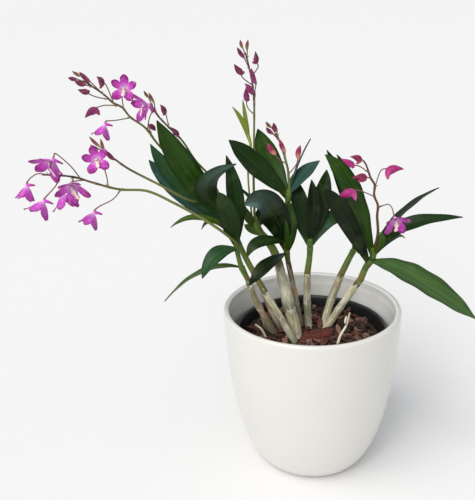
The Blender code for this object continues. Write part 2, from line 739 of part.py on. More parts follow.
SPIKES = {
    "spike_a": {
        "seat": ("shoot_a", (-1.0, -4.0, 0.0)),
        "line": [(-80, -23, 251), (-89, -27, 260), (-105, -28, 272), (-127, -32, 287),
                 (-149, -34, 299), (-173, -36, 302), (-194, -38, 309), (-209, -40, 315),
                 (-224, -42, 318), (-236, -43, 319)],
        "radii": (1.3, 1.3, 1.2, 1.1, 0.9, 0.7),
        "side": [
            (0.64, [(-179, -39, 294), (-189, -43, 290)], "1"),
            (0.70, [(-182, -41, 316), (-184, -43, 326)], "2"),
            (0.76, [(-200, -40, 312)], "3"),
            (0.86, [(-214, -38, 310)], "4"),
            (0.92, [(-226, -42, 309)], "5"),
            (0.83, [(-211, -44, 326), (-222, -44, 337)], "6"),
            (0.97, [(-240, -43, 320), (-246, -44, 317)], "7"),
        ],
    },
    "spike_b_low": {
        "seat": ("shoot_b", (-1.8, -0.4, 0.0)),
        "line": [(-96, 12, 275), (-104, 9, 277), (-112, 3, 278), (-122, -5, 285),
                 (-140, -14, 299), (-165, -18, 315), (-178, -20, 326), (-187, -23, 335)],
        "radii": (1.2, 1.2, 1.1, 1.0, 0.7),
        "side": [
            (0.97, [(-189, -23, 338)], ((-197, -24, 347), None, 1.4)),
            (0.93, [(-190, -21, 335)], ((-198, -20, 339), None, 1.2)),
            (0.95, [(-185, -24, 335)], ((-187, -25, 345), None, 1.3)),
            (0.84, [(-177, -24, 326)], ((-184, -26, 335), None, 1.9)),
        ],
    },
    "spike_b_mid": {
        "seat": ("shoot_b", (0.2, 1.8, 0.0)),
        "line": [(-114, 14, 300), (-140, 8, 330), (-151, 6, 347), (-164, 4, 358),
                 (-170, 2, 367), (-178, 0, 372), (-183, -2, 378), (-195, -4, 388), (-201, -4, 392)],
        "radii": (1.3, 1.2, 1.1, 1.0, 0.8, 0.6),
        "side": [
            (0.58, [(-147, 2, 356), (-142, -6, 366)], "9"),
            (0.69, [(-176, 2, 356), (-182, 0, 356)], "10"),
            (0.75, [(-169, 0, 376)], "8"),
            (0.98, [(-207, -4, 394)], ((-214, -4, 395), None, 1.7)),
            (0.96, [(-203, -1, 396)], ((-211, 1, 400), None, 1.4)),
            (0.94, [(-199, -7, 389)], ((-208, -8, 393), None, 2.1)),
            (0.88, [(-195, -7, 392)], ((-203, -7, 400), None, 1.9)),
            (0.84, [(-191, -5, 378), (-199, -6, 382)], ((-206, -6, 385), (-196, -6, 384), 1.9)),
            (0.81, [(-181, -3, 386), (-184, -4, 391)], ((-189, -4, 395), (-187, -4, 385), 2.0)),
            (0.78, [(-185, -2, 370), (-194, -4, 368)], ((-203, -4, 360), (-190, -4, 362), 2.6)),
            (0.55, [(-148, 5, 350)], ((-142, 4, 345), None, 2.2)),
        ],
    },
    "spike_b_high": {
        "seat": ("shoot_b", (1.8, -0.6, 0.0)),
        "line": [(-95, 23, 295), (-109, 25, 312), (-120, 24, 331), (-133, 22, 346),
                 (-141, 20, 356), (-146, 18, 366)],
        "radii": (1.2, 1.1, 1.0, 0.9, 0.7),
        "side": [
            (0.98, [(-148, 19, 373)], ((-152, 19, 379), None, 1.3)),
            (0.93, [(-143, 15, 369)], ((-147, 14, 378), None, 1.4)),
            (0.85, [(-142, 16, 360)], ((-149, 15, 369), None, 1.9)),
            (0.77, [(-133, 20, 355), (-134, 20, 360)], ((-138, 20, 366), (-136, 20, 356), 1.9)),
            (0.66, [(-124, 21, 338)], ((-130, 20, 345), (-125, 20, 336), 2.0)),
        ],
    },
    "spike_c": {
        "seat": ("shoot_c", (1.4, -1.4, 0.0)),
        "line": [(-54, 16, 293), (-53, 14, 325), (-52, 12, 358), (-52, 12, 369),
                 (-53, 12, 382), (-55, 12, 394), (-57, 12, 403), (-59, 12, 410)],
        "radii": (1.3, 1.2, 1.1, 1.0, 0.9, 0.8, 0.6),
        "side": [
            (0.98, [(-61, 11, 414)], ((-63, 10, 421), None, 1.3)),
            (0.96, [(-57, 12, 412)], ((-56, 11, 421), None, 1.4)),
            (0.90, [(-60, 9, 406)], ((-66, 7, 415), None, 1.7)),
            (0.86, [(-48, 9, 397), (-49, 7, 402)], ((-50, 7, 411), (-53, 7, 402), 1.9)),
            (0.81, [(-61, 8, 388), (-64, 7, 393)], ((-69, 6, 401), (-60, 6, 394), 2.1)),
            (0.74, [(-50, 8, 383)], ((-54, 6, 397), None, 1.9)),
            (0.71, [(-51, 8, 375), (-54, 6, 377)], ((-60, 6, 384), (-55, 6, 374), 2.2)),
            (0.64, [(-58, 11, 362), (-59, 10, 369)], ((-59, 10, 380), (-56, 10, 370), 2.1)),
        ],
    },
    "spike_d": {
        "seat": ("shoot_d", (0.2, -0.9, 0.0)),
        "line": [(-23, -7, 306), (-25, -9, 315), (-27, -9, 323), (-29, -9, 328),
                 (-31, -9, 335), (-34, -9, 341)],
        "radii": (1.2, 1.1, 1.0, 0.7),
        "side": [
            (0.97, [(-38, -9, 347)], ((-43, -9, 352), None, 1.4)),
            (0.88, [(-37, -13, 342)], ((-43, -14, 348), None, 1.7)),
            (0.93, [(-33, -9, 343)], ((-36, -9, 351), None, 1.9)),
            (0.6, [(-26, -12, 325)], ((-31, -14, 337), None, 2.0)),
            (0.48, [(-32, -14, 319), (-35, -15, 324)], ((-42, -15, 334), None, 2.4)),
            (0.28, [(-16, -9, 312), (-14, -9, 318)], ((-12, -9, 330), None, 2.3)),
        ],
    },
    "spike_g": {
        "seat": ("shoot_g", (0.9, -1.6, 0.0)),
        "line": [(62, -5, 243), (60, -8, 260), (60, -9, 271), (56, -10, 281), (56, -10, 291),
                 (52, -10, 298), (48, -10, 309), (45, -11, 314)],
        "radii": (1.2, 1.3, 1.1, 1.0, 0.7),
        "side": [
            (0.47, [(68, -13, 273), (71, -18, 271)], "11"),
            (0.99, [(42, -13, 317)], ((32, -14, 319), (38, -14, 312), 2.2)),
            (0.86, [(42, -12, 309), (35, -12, 311)], ((24, -12, 317), (34, -12, 308), 2.3)),
            (0.8, [(47, -14, 300)], ((34, -16, 300), (40, -16, 296), 2.8)),
            (0.6, [(43, -15, 287), (33, -19, 290)], ((20, -20, 280), (37, -20, 280), 3.0)),
            (0.69, [(61, -10, 304), (68, -10, 306)], ((82, -10, 305), (68, -10, 296), 2.9)),
        ],
    },
}


def bud(foot, tip, heel, radius):
    """Skin of a bud: a pointed pod, with a short heel beside the stalk where it has one."""
    foot = Vector(foot)
    tip = Vector(tip)
    if heel is None:
        path = [between(foot, tip, share) for share in (-0.05, 0.32, 0.7, 1.0)]
        return rod(path, (0.45 * radius, radius, 0.85 * radius, 0.2 * radius), 5)
    path = arch_path(heel, tuple(between(foot, (Vector(heel) + tip) * 0.5, 0.12)), tip, 5)
    return rod(path, (0.3 * radius, 0.85 * radius, 1.05 * radius, 0.8 * radius, 0.2 * radius), 6)


def make_spikes(paths):
    """Flower stalks with their side stalks and buds."""
    olive = new_material("stalk", STALK_OLIVE, 0.55)
    for name, spike in SPIKES.items():
        shoot, aside = spike["seat"]
        start, way = seat_on(paths[shoot], aside)
        line = [tuple(start)] + spike["line"]
        path = smooth_path(line, len(line) + 2)
        skins = [rod(path, spike["radii"], 5, start=way)]
        for at, points, load in spike["side"]:
            start = point_along(path, at)
            marks = [tuple(start)] + [tuple(point) for point in points]
            if isinstance(load, str):
                marks.append(tuple(stalk_end(load)))
                side_path = smooth_path(marks, 5)
                skins.append(rod(side_path, (SIDE_STALK,) * 2, 4, end=flower_axes(load)[3]))
            else:
                side_path = smooth_path(marks, 2 if len(marks) < 3 else 4)
                skins.append(rod(side_path, (SIDE_STALK,) * 2, 4))
                skins.append(bud(points[-1], *load))
        joined(name, skins, olive)


def main():
    for old in list(bpy.data.objects):
        bpy.data.objects.remove(old, do_unlink=True)
    stems, tops = make_canes()
    stems.extend(make_roots())
    make_cachepot()
    make_nursery_pot()
    make_bark(stems)
    paths = make_shoots(tops)
    make_young_shoot(paths)
    make_blooms()
    make_spikes(paths)


main()
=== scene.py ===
"""Potted pink rock orchid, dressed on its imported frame.

A white glazed cachepot holds a black nursery pot of bark. Seven leafy canes and one old bare
cane stand in the bark, with seven flower spikes, eleven open flowers and a young shoot.

Sizes and places are in millimetres in the part's own frame, and become metres when a piece is
made. The side that is looked at faces -Y.
"""

import logging
import math
import random
from collections.abc import Callable, Sequence
from dataclasses import dataclass, field
from enum import Enum

import bpy
from mathutils import Matrix, Vector, noise


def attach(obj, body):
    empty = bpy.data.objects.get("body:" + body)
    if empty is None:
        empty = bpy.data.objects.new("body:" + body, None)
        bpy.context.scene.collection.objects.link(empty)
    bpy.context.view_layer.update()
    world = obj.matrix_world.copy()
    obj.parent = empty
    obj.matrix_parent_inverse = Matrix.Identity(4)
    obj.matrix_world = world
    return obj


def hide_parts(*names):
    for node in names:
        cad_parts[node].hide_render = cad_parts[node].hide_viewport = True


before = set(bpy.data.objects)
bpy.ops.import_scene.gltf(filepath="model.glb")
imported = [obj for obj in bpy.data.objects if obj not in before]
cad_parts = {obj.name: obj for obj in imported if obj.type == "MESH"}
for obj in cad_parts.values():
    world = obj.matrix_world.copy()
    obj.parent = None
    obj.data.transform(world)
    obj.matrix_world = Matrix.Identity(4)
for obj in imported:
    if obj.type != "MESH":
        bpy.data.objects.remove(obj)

LOG = logging.getLogger("orchid")
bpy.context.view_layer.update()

MM = 0.001
TOUCH_GAP = 0.3

Point = tuple[float, float, float]
Colour = tuple[float, float, float]
Table = Sequence[tuple[float, float]]
Stops = Sequence[tuple[float, Colour]]
Paint = tuple[Colour, float]
Painter = Callable[[float, float], Paint]
Measure = Callable[[float, float], float]
Socket = bpy.types.NodeSocket
Look = tuple[Socket | dict[str, object] | None, ...]


def screen(red: float, green: float, blue: float) -> Colour:
    """The linear colour of a screen colour whose channels run from 0 to 255."""
    shares = [value / 255.0 for value in (red, green, blue)]
    return tuple(share / 12.92 if share <= 0.04045 else ((share + 0.055) / 1.055) ** 2.4 for share in shares)


# Lines and values

CURVE_STEPS = 12


def between(start: Vector, end: Vector, share: float) -> Vector:
    """The point at a share of the way from start to end."""
    return start + (end - start) * share


def curve_point(before: Vector, start: Vector, end: Vector, after: Vector, share: float) -> Vector:
    """A point of a smooth curve that passes through start and end.

    Args:
        before: the mark before start.
        start: the mark where this stretch begins.
        end: the mark where this stretch ends.
        after: the mark after end.
        share: how far along the stretch, from 0 to 1.

    Returns:
        The point on the curve.
    """
    square = share * share
    cube = square * share
    return 0.5 * (
        2.0 * start
        + (end - before) * share
        + (2.0 * before - 5.0 * start + 4.0 * end - after) * square
        + (3.0 * start - before - 3.0 * end + after) * cube
    )


def point_along(line: Sequence[Vector], share: float) -> Vector:
    """The point at a share of the length of a line of points.

    Args:
        line: the points, in order.
        share: share of the whole length, from 0 to 1.

    Returns:
        The point there.
    """
    steps = [(b - a).length for a, b in zip(line, line[1:])]
    left = sum(steps) * share
    for start, end, step in zip(line, line[1:], steps):
        if left <= step or end is line[-1]:
            return between(start, end, min(1.0, left / step))
        left -= step
    return line[-1]


def smooth_path(points: Sequence[Point | Vector], count: int) -> list[Vector]:
    """Evenly spaced points of a smooth curve through the given points.

    Args:
        points: the marks that the curve passes through.
        count: how many points to return.

    Returns:
        The points, from the first mark to the last.
    """
    marks = [Vector(point) for point in points]
    marks = [marks[0] * 2.0 - marks[1]] + marks + [marks[-1] * 2.0 - marks[-2]]
    stretches = zip(marks, marks[1:], marks[2:], marks[3:])
    dense = [curve_point(*four, step / CURVE_STEPS) for four in stretches for step in range(CURVE_STEPS)]
    dense.append(marks[-2])
    return [point_along(dense, i / (count - 1.0)) for i in range(count)]


def arch_path(foot: Vector, middle: Point | Vector, tip: Point | Vector, count: int) -> list[Vector]:
    """Points of an arch from foot to tip that passes through the middle.

    Args:
        foot: where the arch starts.
        middle: the point at half way.
        tip: where the arch ends.
        count: how many points to return.

    Returns:
        The points, from foot to tip.
    """
    tip = Vector(tip)
    pull = Vector(middle) * 2.0 - (foot + tip) * 0.5
    shares = [i / (count - 1.0) for i in range(count)]
    return [between(between(foot, pull, share), between(pull, tip, share), share) for share in shares]


def turned(degrees: float, axis: str, size: int) -> Matrix:
    """A turn about an axis, as a matrix of 3 or 4 rows."""
    return Matrix.Rotation(math.radians(degrees), size, axis)


def directions(path: Sequence[Vector]) -> list[Vector]:
    """The direction of travel at each point of a path."""
    last = len(path) - 1
    return [(path[min(i + 1, last)] - path[max(i - 1, 0)]).normalized() for i in range(len(path))]


def flowing(table: Table, share: float) -> float:
    """A value read from pairs of (share, value) on a smooth curve through them.

    Args:
        table: the pairs, in rising order of share.
        share: where to read.

    Returns:
        The value there.
    """
    last = len(table) - 1
    i = 0
    while i < last - 1 and share > table[i + 1][0]:
        i += 1
    (low, first), (high, second) = table[i], table[i + 1]
    width = high - low
    before = table[max(i - 1, 0)]
    after = table[min(i + 2, last)]
    slope_in = (second - before[1]) / (high - before[0])
    slope_out = (after[1] - first) / (after[0] - low)
    t = min(max((share - low) / width, 0.0), 1.0)
    square = t * t
    cube = square * t
    return (
        (2.0 * cube - 3.0 * square + 1.0) * first
        + (cube - 2.0 * square + t) * width * slope_in
        + (3.0 * square - 2.0 * cube) * second
        + (cube - square) * width * slope_out
    )


def spread(values: Sequence[float]) -> Table:
    """Pairs of (share, value) for values at even distances."""
    last = len(values) - 1.0
    return [(i / last, value) for i, value in enumerate(values)]


def eased(value: float, low: float, high: float) -> float:
    """0 below low, 1 above high, and a soft rise between them."""
    share = min(max((value - low) / (high - low), 0.0), 1.0)
    return share * share * (3.0 - 2.0 * share)


def peak(value: float, middle: float, width: float) -> float:
    """A soft hump, 1 at the middle and fading over the width."""
    return math.exp(-(((value - middle) / width) ** 2))


def mixed(first: Colour, second: Colour, share: float) -> Colour:
    """A colour at a share of the way from the first to the second."""
    return tuple(a + (b - a) * share for a, b in zip(first, second))


def colour_at(stops: Stops, share: float) -> Colour:
    """A colour read from pairs of (share, colour), straight between them.

    Args:
        stops: the pairs, in rising order of share.
        share: where to read.

    Returns:
        The colour there.
    """
    for (low, first), (high, second) in zip(stops, stops[1:]):
        if share <= high:
            return mixed(first, second, max(0.0, (share - low) / (high - low)))
    return stops[-1][1]


def shading(first: Colour, second: Colour, low: float, high: float) -> Painter:
    """Paint that passes from one colour to another between two shares of a stalk's length."""
    return lambda share, angle: (mixed(first, second, eased(share, low, high)), 0.0)


def girth(table: Table) -> Measure:
    """A stalk's radius, read from a table at the share along."""
    return lambda share, angle: flowing(table, share)


def rough(place: Vector, scale: float) -> float:
    """Smooth noise from -1 to 1 at a place, with features of about 1/scale millimetres."""
    return noise.noise(place * scale)


# Making meshes


@dataclass
class Spine:
    """A middle line of evenly spaced points with side directions that never spin."""

    path: list[Vector]
    ways: list[Vector] = field(init=False)
    sides: list[Vector] = field(init=False)
    length: float = field(init=False)

    def __post_init__(self) -> None:
        """Works out the direction and the side at each point."""
        self.ways = directions(self.path)
        self.sides = []
        side = self.ways[0].orthogonal()
        for along in self.ways:
            side = (side - along * side.dot(along)).normalized()
            self.sides.append(side)
        self.length = sum((b - a).length for a, b in zip(self.path, self.path[1:]))

    def surface(self, share: float, radius: float, angle: float, rise: float = 0.0) -> Vector:
        """A point round the line.

        Args:
            share: share along the line.
            radius: distance from the line.
            angle: angle round it, in radians.
            rise: extra distance along the line's direction.

        Returns:
            The point.
        """
        spot = min(max(share, 0.0), 1.0) * (len(self.path) - 1)
        i = min(int(spot), len(self.path) - 2)
        part = spot - i
        centre = between(self.path[i], self.path[i + 1], part)
        along = between(self.ways[i], self.ways[i + 1], part).normalized()
        side = between(self.sides[i], self.sides[i + 1], part)
        side = (side - along * side.dot(along)).normalized()
        up = along.cross(side)
        return centre + side * (radius * math.cos(angle)) + up * (radius * math.sin(angle)) + along * rise


def in_scene(name: str, data: bpy.types.ID) -> bpy.types.Object:
    """A new object of the scene."""
    made = bpy.data.objects.new(name, data)
    bpy.context.scene.collection.objects.link(made)
    return made


BLADE_COLUMNS = (0.0, 0.055, 0.2, 0.42, 0.64, 0.83, 0.95)
DOME_TURNS = (0.45, 0.9, 1.25, 1.5)


@dataclass
class Draft:
    """Points, faces and painted values of one piece while it is made.

    Each point carries a tint, a place (share along, share across, mask) and a grain: its
    position in millimetres in the piece's own lengthwise directions, for fibres and veins.
    """

    points: list[Vector] = field(default_factory=list)
    faces: list[tuple[int, ...]] = field(default_factory=list)
    tints: list[Colour] = field(default_factory=list)
    places: list[Point] = field(default_factory=list)
    grains: list[Point] = field(default_factory=list)
    rings: list[list[int]] = field(default_factory=list)

    def dot(self, point: Vector, tint: Colour, place: Point, grain: Point) -> None:
        """Adds one point to the last ring.

        Args:
            point: where it is.
            tint: its colour.
            place: share along, share across and mask.
            grain: its position in the piece's own lengthwise directions.
        """
        self.rings[-1].append(len(self.points))
        self.points.append(point)
        self.tints.append(tint)
        self.places.append(place)
        self.grains.append(grain)

    def skin(self, caps: bool = True) -> None:
        """Faces through the rings, which all have equally many points.

        Args:
            caps: whether both ends are closed with a face.
        """
        for low, high in zip(self.rings, self.rings[1:]):
            count = len(low)
            for j in range(count):
                n = (j + 1) % count
                self.faces.append((low[j], low[n], high[n], high[j]))
        if caps:
            self.faces.append(tuple(reversed(self.rings[0])))
            self.faces.append(tuple(self.rings[-1]))
        self.rings = []

    def tube(self, path: Sequence[Vector], radius: Measure, sides: int, paint: Painter,
             dome: float = 0.0) -> None:
        """A closed round stalk along a path.

        Args:
            path: the middle line.
            radius: gives the radius at (share along, angle).
            sides: points round the stalk.
            paint: gives the tint and the mask at (share along, angle).
            dome: how far the far end is rounded off, as a share of its radius.
        """
        spine = Spine(list(path))
        last = len(path) - 1
        steps = [(i / last, 1.0, 0.0) for i in range(len(path))]
        if dome:
            steps.extend((1.0, math.cos(turn), math.sin(turn) * dome) for turn in DOME_TURNS)
        for share, shrink, rise in steps:
            self.rings.append([])
            for k in range(sides):
                angle = math.tau * k / sides
                size = radius(share, angle)
                tint, mask = paint(share, angle)
                point = spine.surface(share, size * shrink, angle, rise * size)
                grain = (size * math.cos(angle), size * math.sin(angle), share * spine.length)
                self.dot(point, tint, (share, k / sides, mask), grain)
        self.skin()

    def blade(self, path: Sequence[Vector], face: Point | Vector, half: Callable[[float], float],
              lift: Measure, thick: Measure, paint: Callable[[float, float, bool], Colour],
              seed: float) -> None:
        """A closed leaf along a path, with a front, a back and a thin rim.

        Args:
            path: the middle line.
            face: the way the front looks.
            half: gives half the width at a share along.
            lift: gives the height above the middle line at (share along, across from -1 to 1).
            thick: gives the thickness at (share along, across).
            paint: gives the tint at (share along, across, whether it is the back).
            seed: moves the grain, so that no two blades are alike.
        """
        face = Vector(face).normalized()
        front = [*reversed(BLADE_COLUMNS), *(-u for u in BLADE_COLUMNS[1:])]
        round_trip = [(1.0, 0)] + [(u, 1) for u in front] + [(-1.0, 0)] + [(-u, -1) for u in front]
        run = 0.0
        last = len(path) - 1.0
        for i, (centre, along) in enumerate(zip(path, directions(path))):
            share = i / last
            run += (centre - path[max(i - 1, 0)]).length
            normal = (face - along * face.dot(along)).normalized()
            side = normal.cross(along)
            width = half(share)
            self.rings.append([])
            for across, layer in round_trip:
                height = lift(share, across) + 0.5 * layer * thick(share, across)
                point = centre + side * (width * across) + normal * height
                tint = paint(share, across, layer < 0)
                place = (share, across, 1.0 if layer < 0 else 0.0)
                self.dot(point, tint, place, (width * across + seed, 2.0 * seed, run))
        self.skin()

    def turn(self, profile: Sequence[Point], sides: int, paint: Callable[[float, float], Colour]) -> None:
        """A turned body about the upright middle line.

        Args:
            profile: (radius, height, mask) rows, from the bottom middle over the outside inwards.
            sides: points round the body.
            paint: gives the tint at a radius and height.
        """
        last = len(profile) - 1.0
        for i, (radius, height, mask) in enumerate(profile):
            self.rings.append([])
            tint = paint(radius, height)
            for k in range(sides):
                angle = math.tau * k / sides
                point = Vector((radius * math.cos(angle), radius * math.sin(angle), height))
                self.dot(point, tint, (i / last, k / sides, mask), tuple(point))
        self.skin()

    def piece(self, name: str, node: str, slot: str, finish: "Finish") -> None:
        """Makes the piece, dresses it, and lets it stand for its CAD node.

        Args:
            name: the piece's name.
            node: the CAD node that it stands for.
            slot: not used.
            finish: what it is finished with.
        """
        mesh = bpy.data.meshes.new(name)
        mesh.from_pydata([tuple(point * MM) for point in self.points], [], self.faces)
        mesh.polygons.foreach_set("use_smooth", [True] * len(mesh.polygons))
        for label, kind, key, width, values in (
            ("tint", 'FLOAT_COLOR', "color", 4, [(*tint, 1.0) for tint in self.tints]),
            ("place", 'FLOAT_VECTOR', "vector", 3, self.places),
            ("grain", 'FLOAT_VECTOR', "vector", 3, self.grains),
        ):
            layer = mesh.attributes.new(label, kind, 'POINT')
            layer.data.foreach_set(key, [value for row in values for value in row[:width]])
        mesh.update()
        made = in_scene(name, mesh)
        made.data.materials.append(finish.material())
        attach(made, "root")
        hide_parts(node)
        LOG.info("%s: %d faces", name, len(self.faces))


# Shader graphs


class Graph:
    """A node tree while it is drawn, with short ways to add nodes and join them."""

    def __init__(self, tree: bpy.types.NodeTree) -> None:
        """Keeps the tree to draw in, and later the vector that its masks are drawn at."""
        self.tree = tree
        self.grain: object = None

    def node(self, kind: str, inputs: dict | None = None, **settings: object) -> bpy.types.Node:
        """Adds a node.

        Args:
            kind: the end of its type name.
            inputs: what feeds its inputs, by their name or number.
            settings: its properties.

        Returns:
            The node.
        """
        made = self.tree.nodes.new("ShaderNode" + kind)
        for key, value in settings.items():
            setattr(made, key, value)
        for key, value in (inputs or {}).items():
            self.feed(made.inputs[key], value)
        return made

    def feed(self, target: Socket, value: object) -> None:
        """Joins a socket to an input, or sets the input.

        Args:
            target: the input.
            value: a socket, or a plain value.
        """
        if isinstance(value, Socket):
            self.tree.links.new(value, target)
        elif isinstance(value, tuple) and target.type == 'RGBA':
            target.default_value = (*value[:3], 1.0)
        else:
            target.default_value = value

    def carried(self, name: str, output: str = "Vector") -> Socket:
        """A value that the mesh carries."""
        return self.node("Attribute", attribute_name=name).outputs[output]

    def parts(self, vector: Socket) -> bpy.types.NodeOutputs:
        """The three numbers of a vector."""
        return self.node("SeparateXYZ", {0: vector}).outputs

    def math(self, operation: str, first: object, second: object = 0.0) -> Socket:
        """The result of an operation on two numbers."""
        return self.node("Math", {0: first, 1: second}, operation=operation).outputs[0]

    def plus(self, first: object, second: object) -> Socket:
        """The sum of two numbers."""
        return self.math('ADD', first, second)

    def times(self, first: object, second: object) -> Socket:
        """The product of two numbers."""
        return self.math('MULTIPLY', first, second)

    def remap(self, value: object, low: object, high: object, start: float = 0.0,
              end: float = 1.0) -> Socket:
        """A number moved softly from the range low to high into the range start to end."""
        inputs = dict(enumerate((value, low, high, start, end)))
        return self.node("MapRange", inputs, interpolation_type='SMOOTHSTEP').outputs[0]

    def noise(self, scale: object, detail: float = 2.0, roughness: float = 0.5) -> Socket:
        """A noise value from 0 to 1 at the grain."""
        inputs = {"Vector": self.grain, "Scale": scale, "Detail": detail, "Roughness": roughness}
        return self.node("TexNoise", inputs).outputs[0]

    def blend(self, share: object, first: object, second: object) -> Socket:
        """Two colours mixed by a share."""
        return self.node("Mix", {0: share, 6: first, 7: second}, data_type='RGBA').outputs[2]

    def layers(self, colour: object, *coats: tuple[object, float, Colour]) -> Socket:
        """A colour with others laid over it in turn, each by a mask and a share."""
        for mask, share, over in coats:
            colour = self.blend(self.times(mask, share), colour, over)
        return colour

    def mask(self, kind: str, *numbers: float) -> Socket:
        """Places the node group of a kind of mask.

        Args:
            kind: its name in MASKS.
            numbers: its own numbers, in the order that MASKS gives.

        Returns:
            The mask.
        """
        made = self.node("Group", node_tree=mask_group(kind))
        for socket, value in zip(made.inputs, (self.grain, *numbers)):
            self.feed(socket, value)
        return made.outputs[0]


def draw_fibres(graph: Graph, ins: bpy.types.NodeOutputs) -> Socket:
    """Fine lines along the grain, for veins, husk fibres and stalk ribs.

    Args:
        graph: the group's graph.
        ins: the group's inputs by name.

    Returns:
        The mask.
    """
    joined = graph.node("CombineXYZ")
    scales = (ins["Fineness"], ins["Fineness"], ins["Stretch"])
    for target, part, scale in zip(joined.inputs, graph.parts(ins["Grain"]), scales):
        graph.feed(target, graph.times(part, scale))
    graph.grain = joined.outputs[0]
    return graph.remap(graph.noise(1.0, 3.0, 0.6), ins["Low"], ins["High"])


def draw_mottle(graph: Graph, ins: bpy.types.NodeOutputs) -> Socket:
    """Soft uneven patches, for glaze, sheaths, leaves and bark."""
    return graph.remap(graph.noise(ins["Fineness"], 4.0, 0.55), ins["Low"], ins["High"])


def draw_flecks(graph: Graph, ins: bpy.types.NodeOutputs) -> Socket:
    """Small separate spots, for pores, pinholes and crumbs."""
    cells = graph.node("TexVoronoi", {"Vector": graph.grain, "Scale": ins["Fineness"]})
    uneven = graph.times(graph.noise(ins["Fineness"]), 0.3)
    return graph.remap(graph.plus(cells.outputs["Distance"], uneven), ins["Cover"], 0.12)


MASKS = {
    "fibres": (("Fineness", "Stretch", "Low", "High"), draw_fibres),
    "mottle": (("Fineness", "Low", "High"), draw_mottle),
    "flecks": (("Fineness", "Cover"), draw_flecks),
}


def mask_group(kind: str) -> bpy.types.NodeTree:
    """The node group of a kind of mask, built once.

    Args:
        kind: its name in MASKS.

    Returns:
        The node group, with Grain and the kind's numbers in and Mask out.
    """
    if kind in bpy.data.node_groups:
        return bpy.data.node_groups[kind]
    numbers, draw = MASKS[kind]
    tree = bpy.data.node_groups.new(kind, 'ShaderNodeTree')
    tree.interface.new_socket("Grain", in_out='INPUT', socket_type="NodeSocketVector")
    for number in numbers:
        tree.interface.new_socket(number, in_out='INPUT', socket_type="NodeSocketFloat")
    tree.interface.new_socket("Mask", in_out='OUTPUT', socket_type="NodeSocketFloat")
    start = tree.nodes.new("NodeGroupInput")
    end = tree.nodes.new("NodeGroupOutput")
    graph = Graph(tree)
    graph.grain = start.outputs["Grain"]
    graph.feed(end.inputs["Mask"], draw(graph, start.outputs))
    return tree


# Finishes


@dataclass(frozen=True)
class Finish:
    """What a piece is finished with; each kind of finish draws its own shader graph."""

    name: str
    specular: float = 0.5
    strength: float = 0.6
    depth: float = 0.15

    def material(self) -> bpy.types.Material:
        """The finish's material, drawn the first time it is asked for."""
        if self.name in bpy.data.materials:
            return bpy.data.materials[self.name]
        made = bpy.data.materials.new(self.name)
        made.use_nodes = True
        graph = Graph(made.node_tree)
        graph.grain = graph.carried("grain")
        shader = made.node_tree.nodes["Principled BSDF"].inputs
        colour, roughness, height, *extras = self.draw(graph, graph.carried("tint", "Color"))
        inputs = {"Base Color": colour, "Roughness": roughness, "Specular IOR Level": self.specular}
        for key, value in (inputs | dict(*extras)).items():
            graph.feed(shader[key], value)
        if height is not None:
            bump = {"Strength": self.strength, "Distance": self.depth * MM, "Height": height}
            graph.feed(shader["Normal"], graph.node("Bump", bump).outputs[0])
        return made

    def draw(self, graph: Graph, tint: Socket) -> Look:
        """Draws the graph.

        Args:
            graph: the material's graph.
            tint: the colour that the mesh carries.

        Returns:
            Its colour, roughness and height, and a table of other inputs where it has them.
        """
        raise NotImplementedError(self.name)


@dataclass(frozen=True)
class Glaze(Finish):
    """Satin white glaze over clay, with a bare foot where the mask is 1."""

    clay: Colour = screen(196, 180, 160)
    pinhole: Colour = screen(150, 140, 124)
    cloudy: Colour = (0.7, 0.695, 0.665)
    gloss: float = 0.16
    coat: float = 0.35
    depth: float = 0.6

    def draw(self, graph: Graph, tint: Socket) -> Look:
        """Draws clouded glaze, rare pinholes and the bare clay foot."""
        bare = graph.parts(graph.carried("place"))[2]
        cloud = graph.mask("mottle", 0.022, 0.35, 0.7)
        pores = graph.mask("flecks", 0.11, 0.155)
        smear = graph.mask("mottle", 0.06, 0.3, 0.75)
        glazed = graph.layers(tint, (cloud, 0.35, self.cloudy), (pores, 0.25, self.pinhole))
        shine = graph.plus(graph.times(smear, 0.09), self.gloss)
        coat = {"Coat Weight": graph.math('SUBTRACT', self.coat, graph.times(bare, self.coat)),
                "Coat Roughness": 0.08}
        wave = graph.math('SUBTRACT', graph.noise(0.035), graph.times(pores, 0.12))
        dull = graph.math('MAXIMUM', shine, graph.times(bare, 0.85))
        return graph.blend(bare, glazed, self.clay), dull, wave, coat


@dataclass(frozen=True)
class Plastic(Finish):
    """Moulded black plastic with fine scuffs and a little dust."""

    scuffed: Colour = (0.06, 0.06, 0.062)
    dust: Colour = screen(84, 74, 64)
    strength: float = 0.5
    depth: float = 0.12

    def draw(self, graph: Graph, tint: Socket) -> Look:
        """Draws scuffs along the wall and dust in patches."""
        scuff = graph.mask("fibres", 0.9, 0.25, 0.58, 0.8)
        dusty = graph.mask("mottle", 0.16, 0.55, 0.8)
        colour = graph.layers(tint, (scuff, 0.25, self.scuffed), (dusty, 0.3, self.dust))
        return colour, graph.remap(scuff, 0.0, 1.0, 0.28, 0.55), graph.noise(1.6, 3.0)


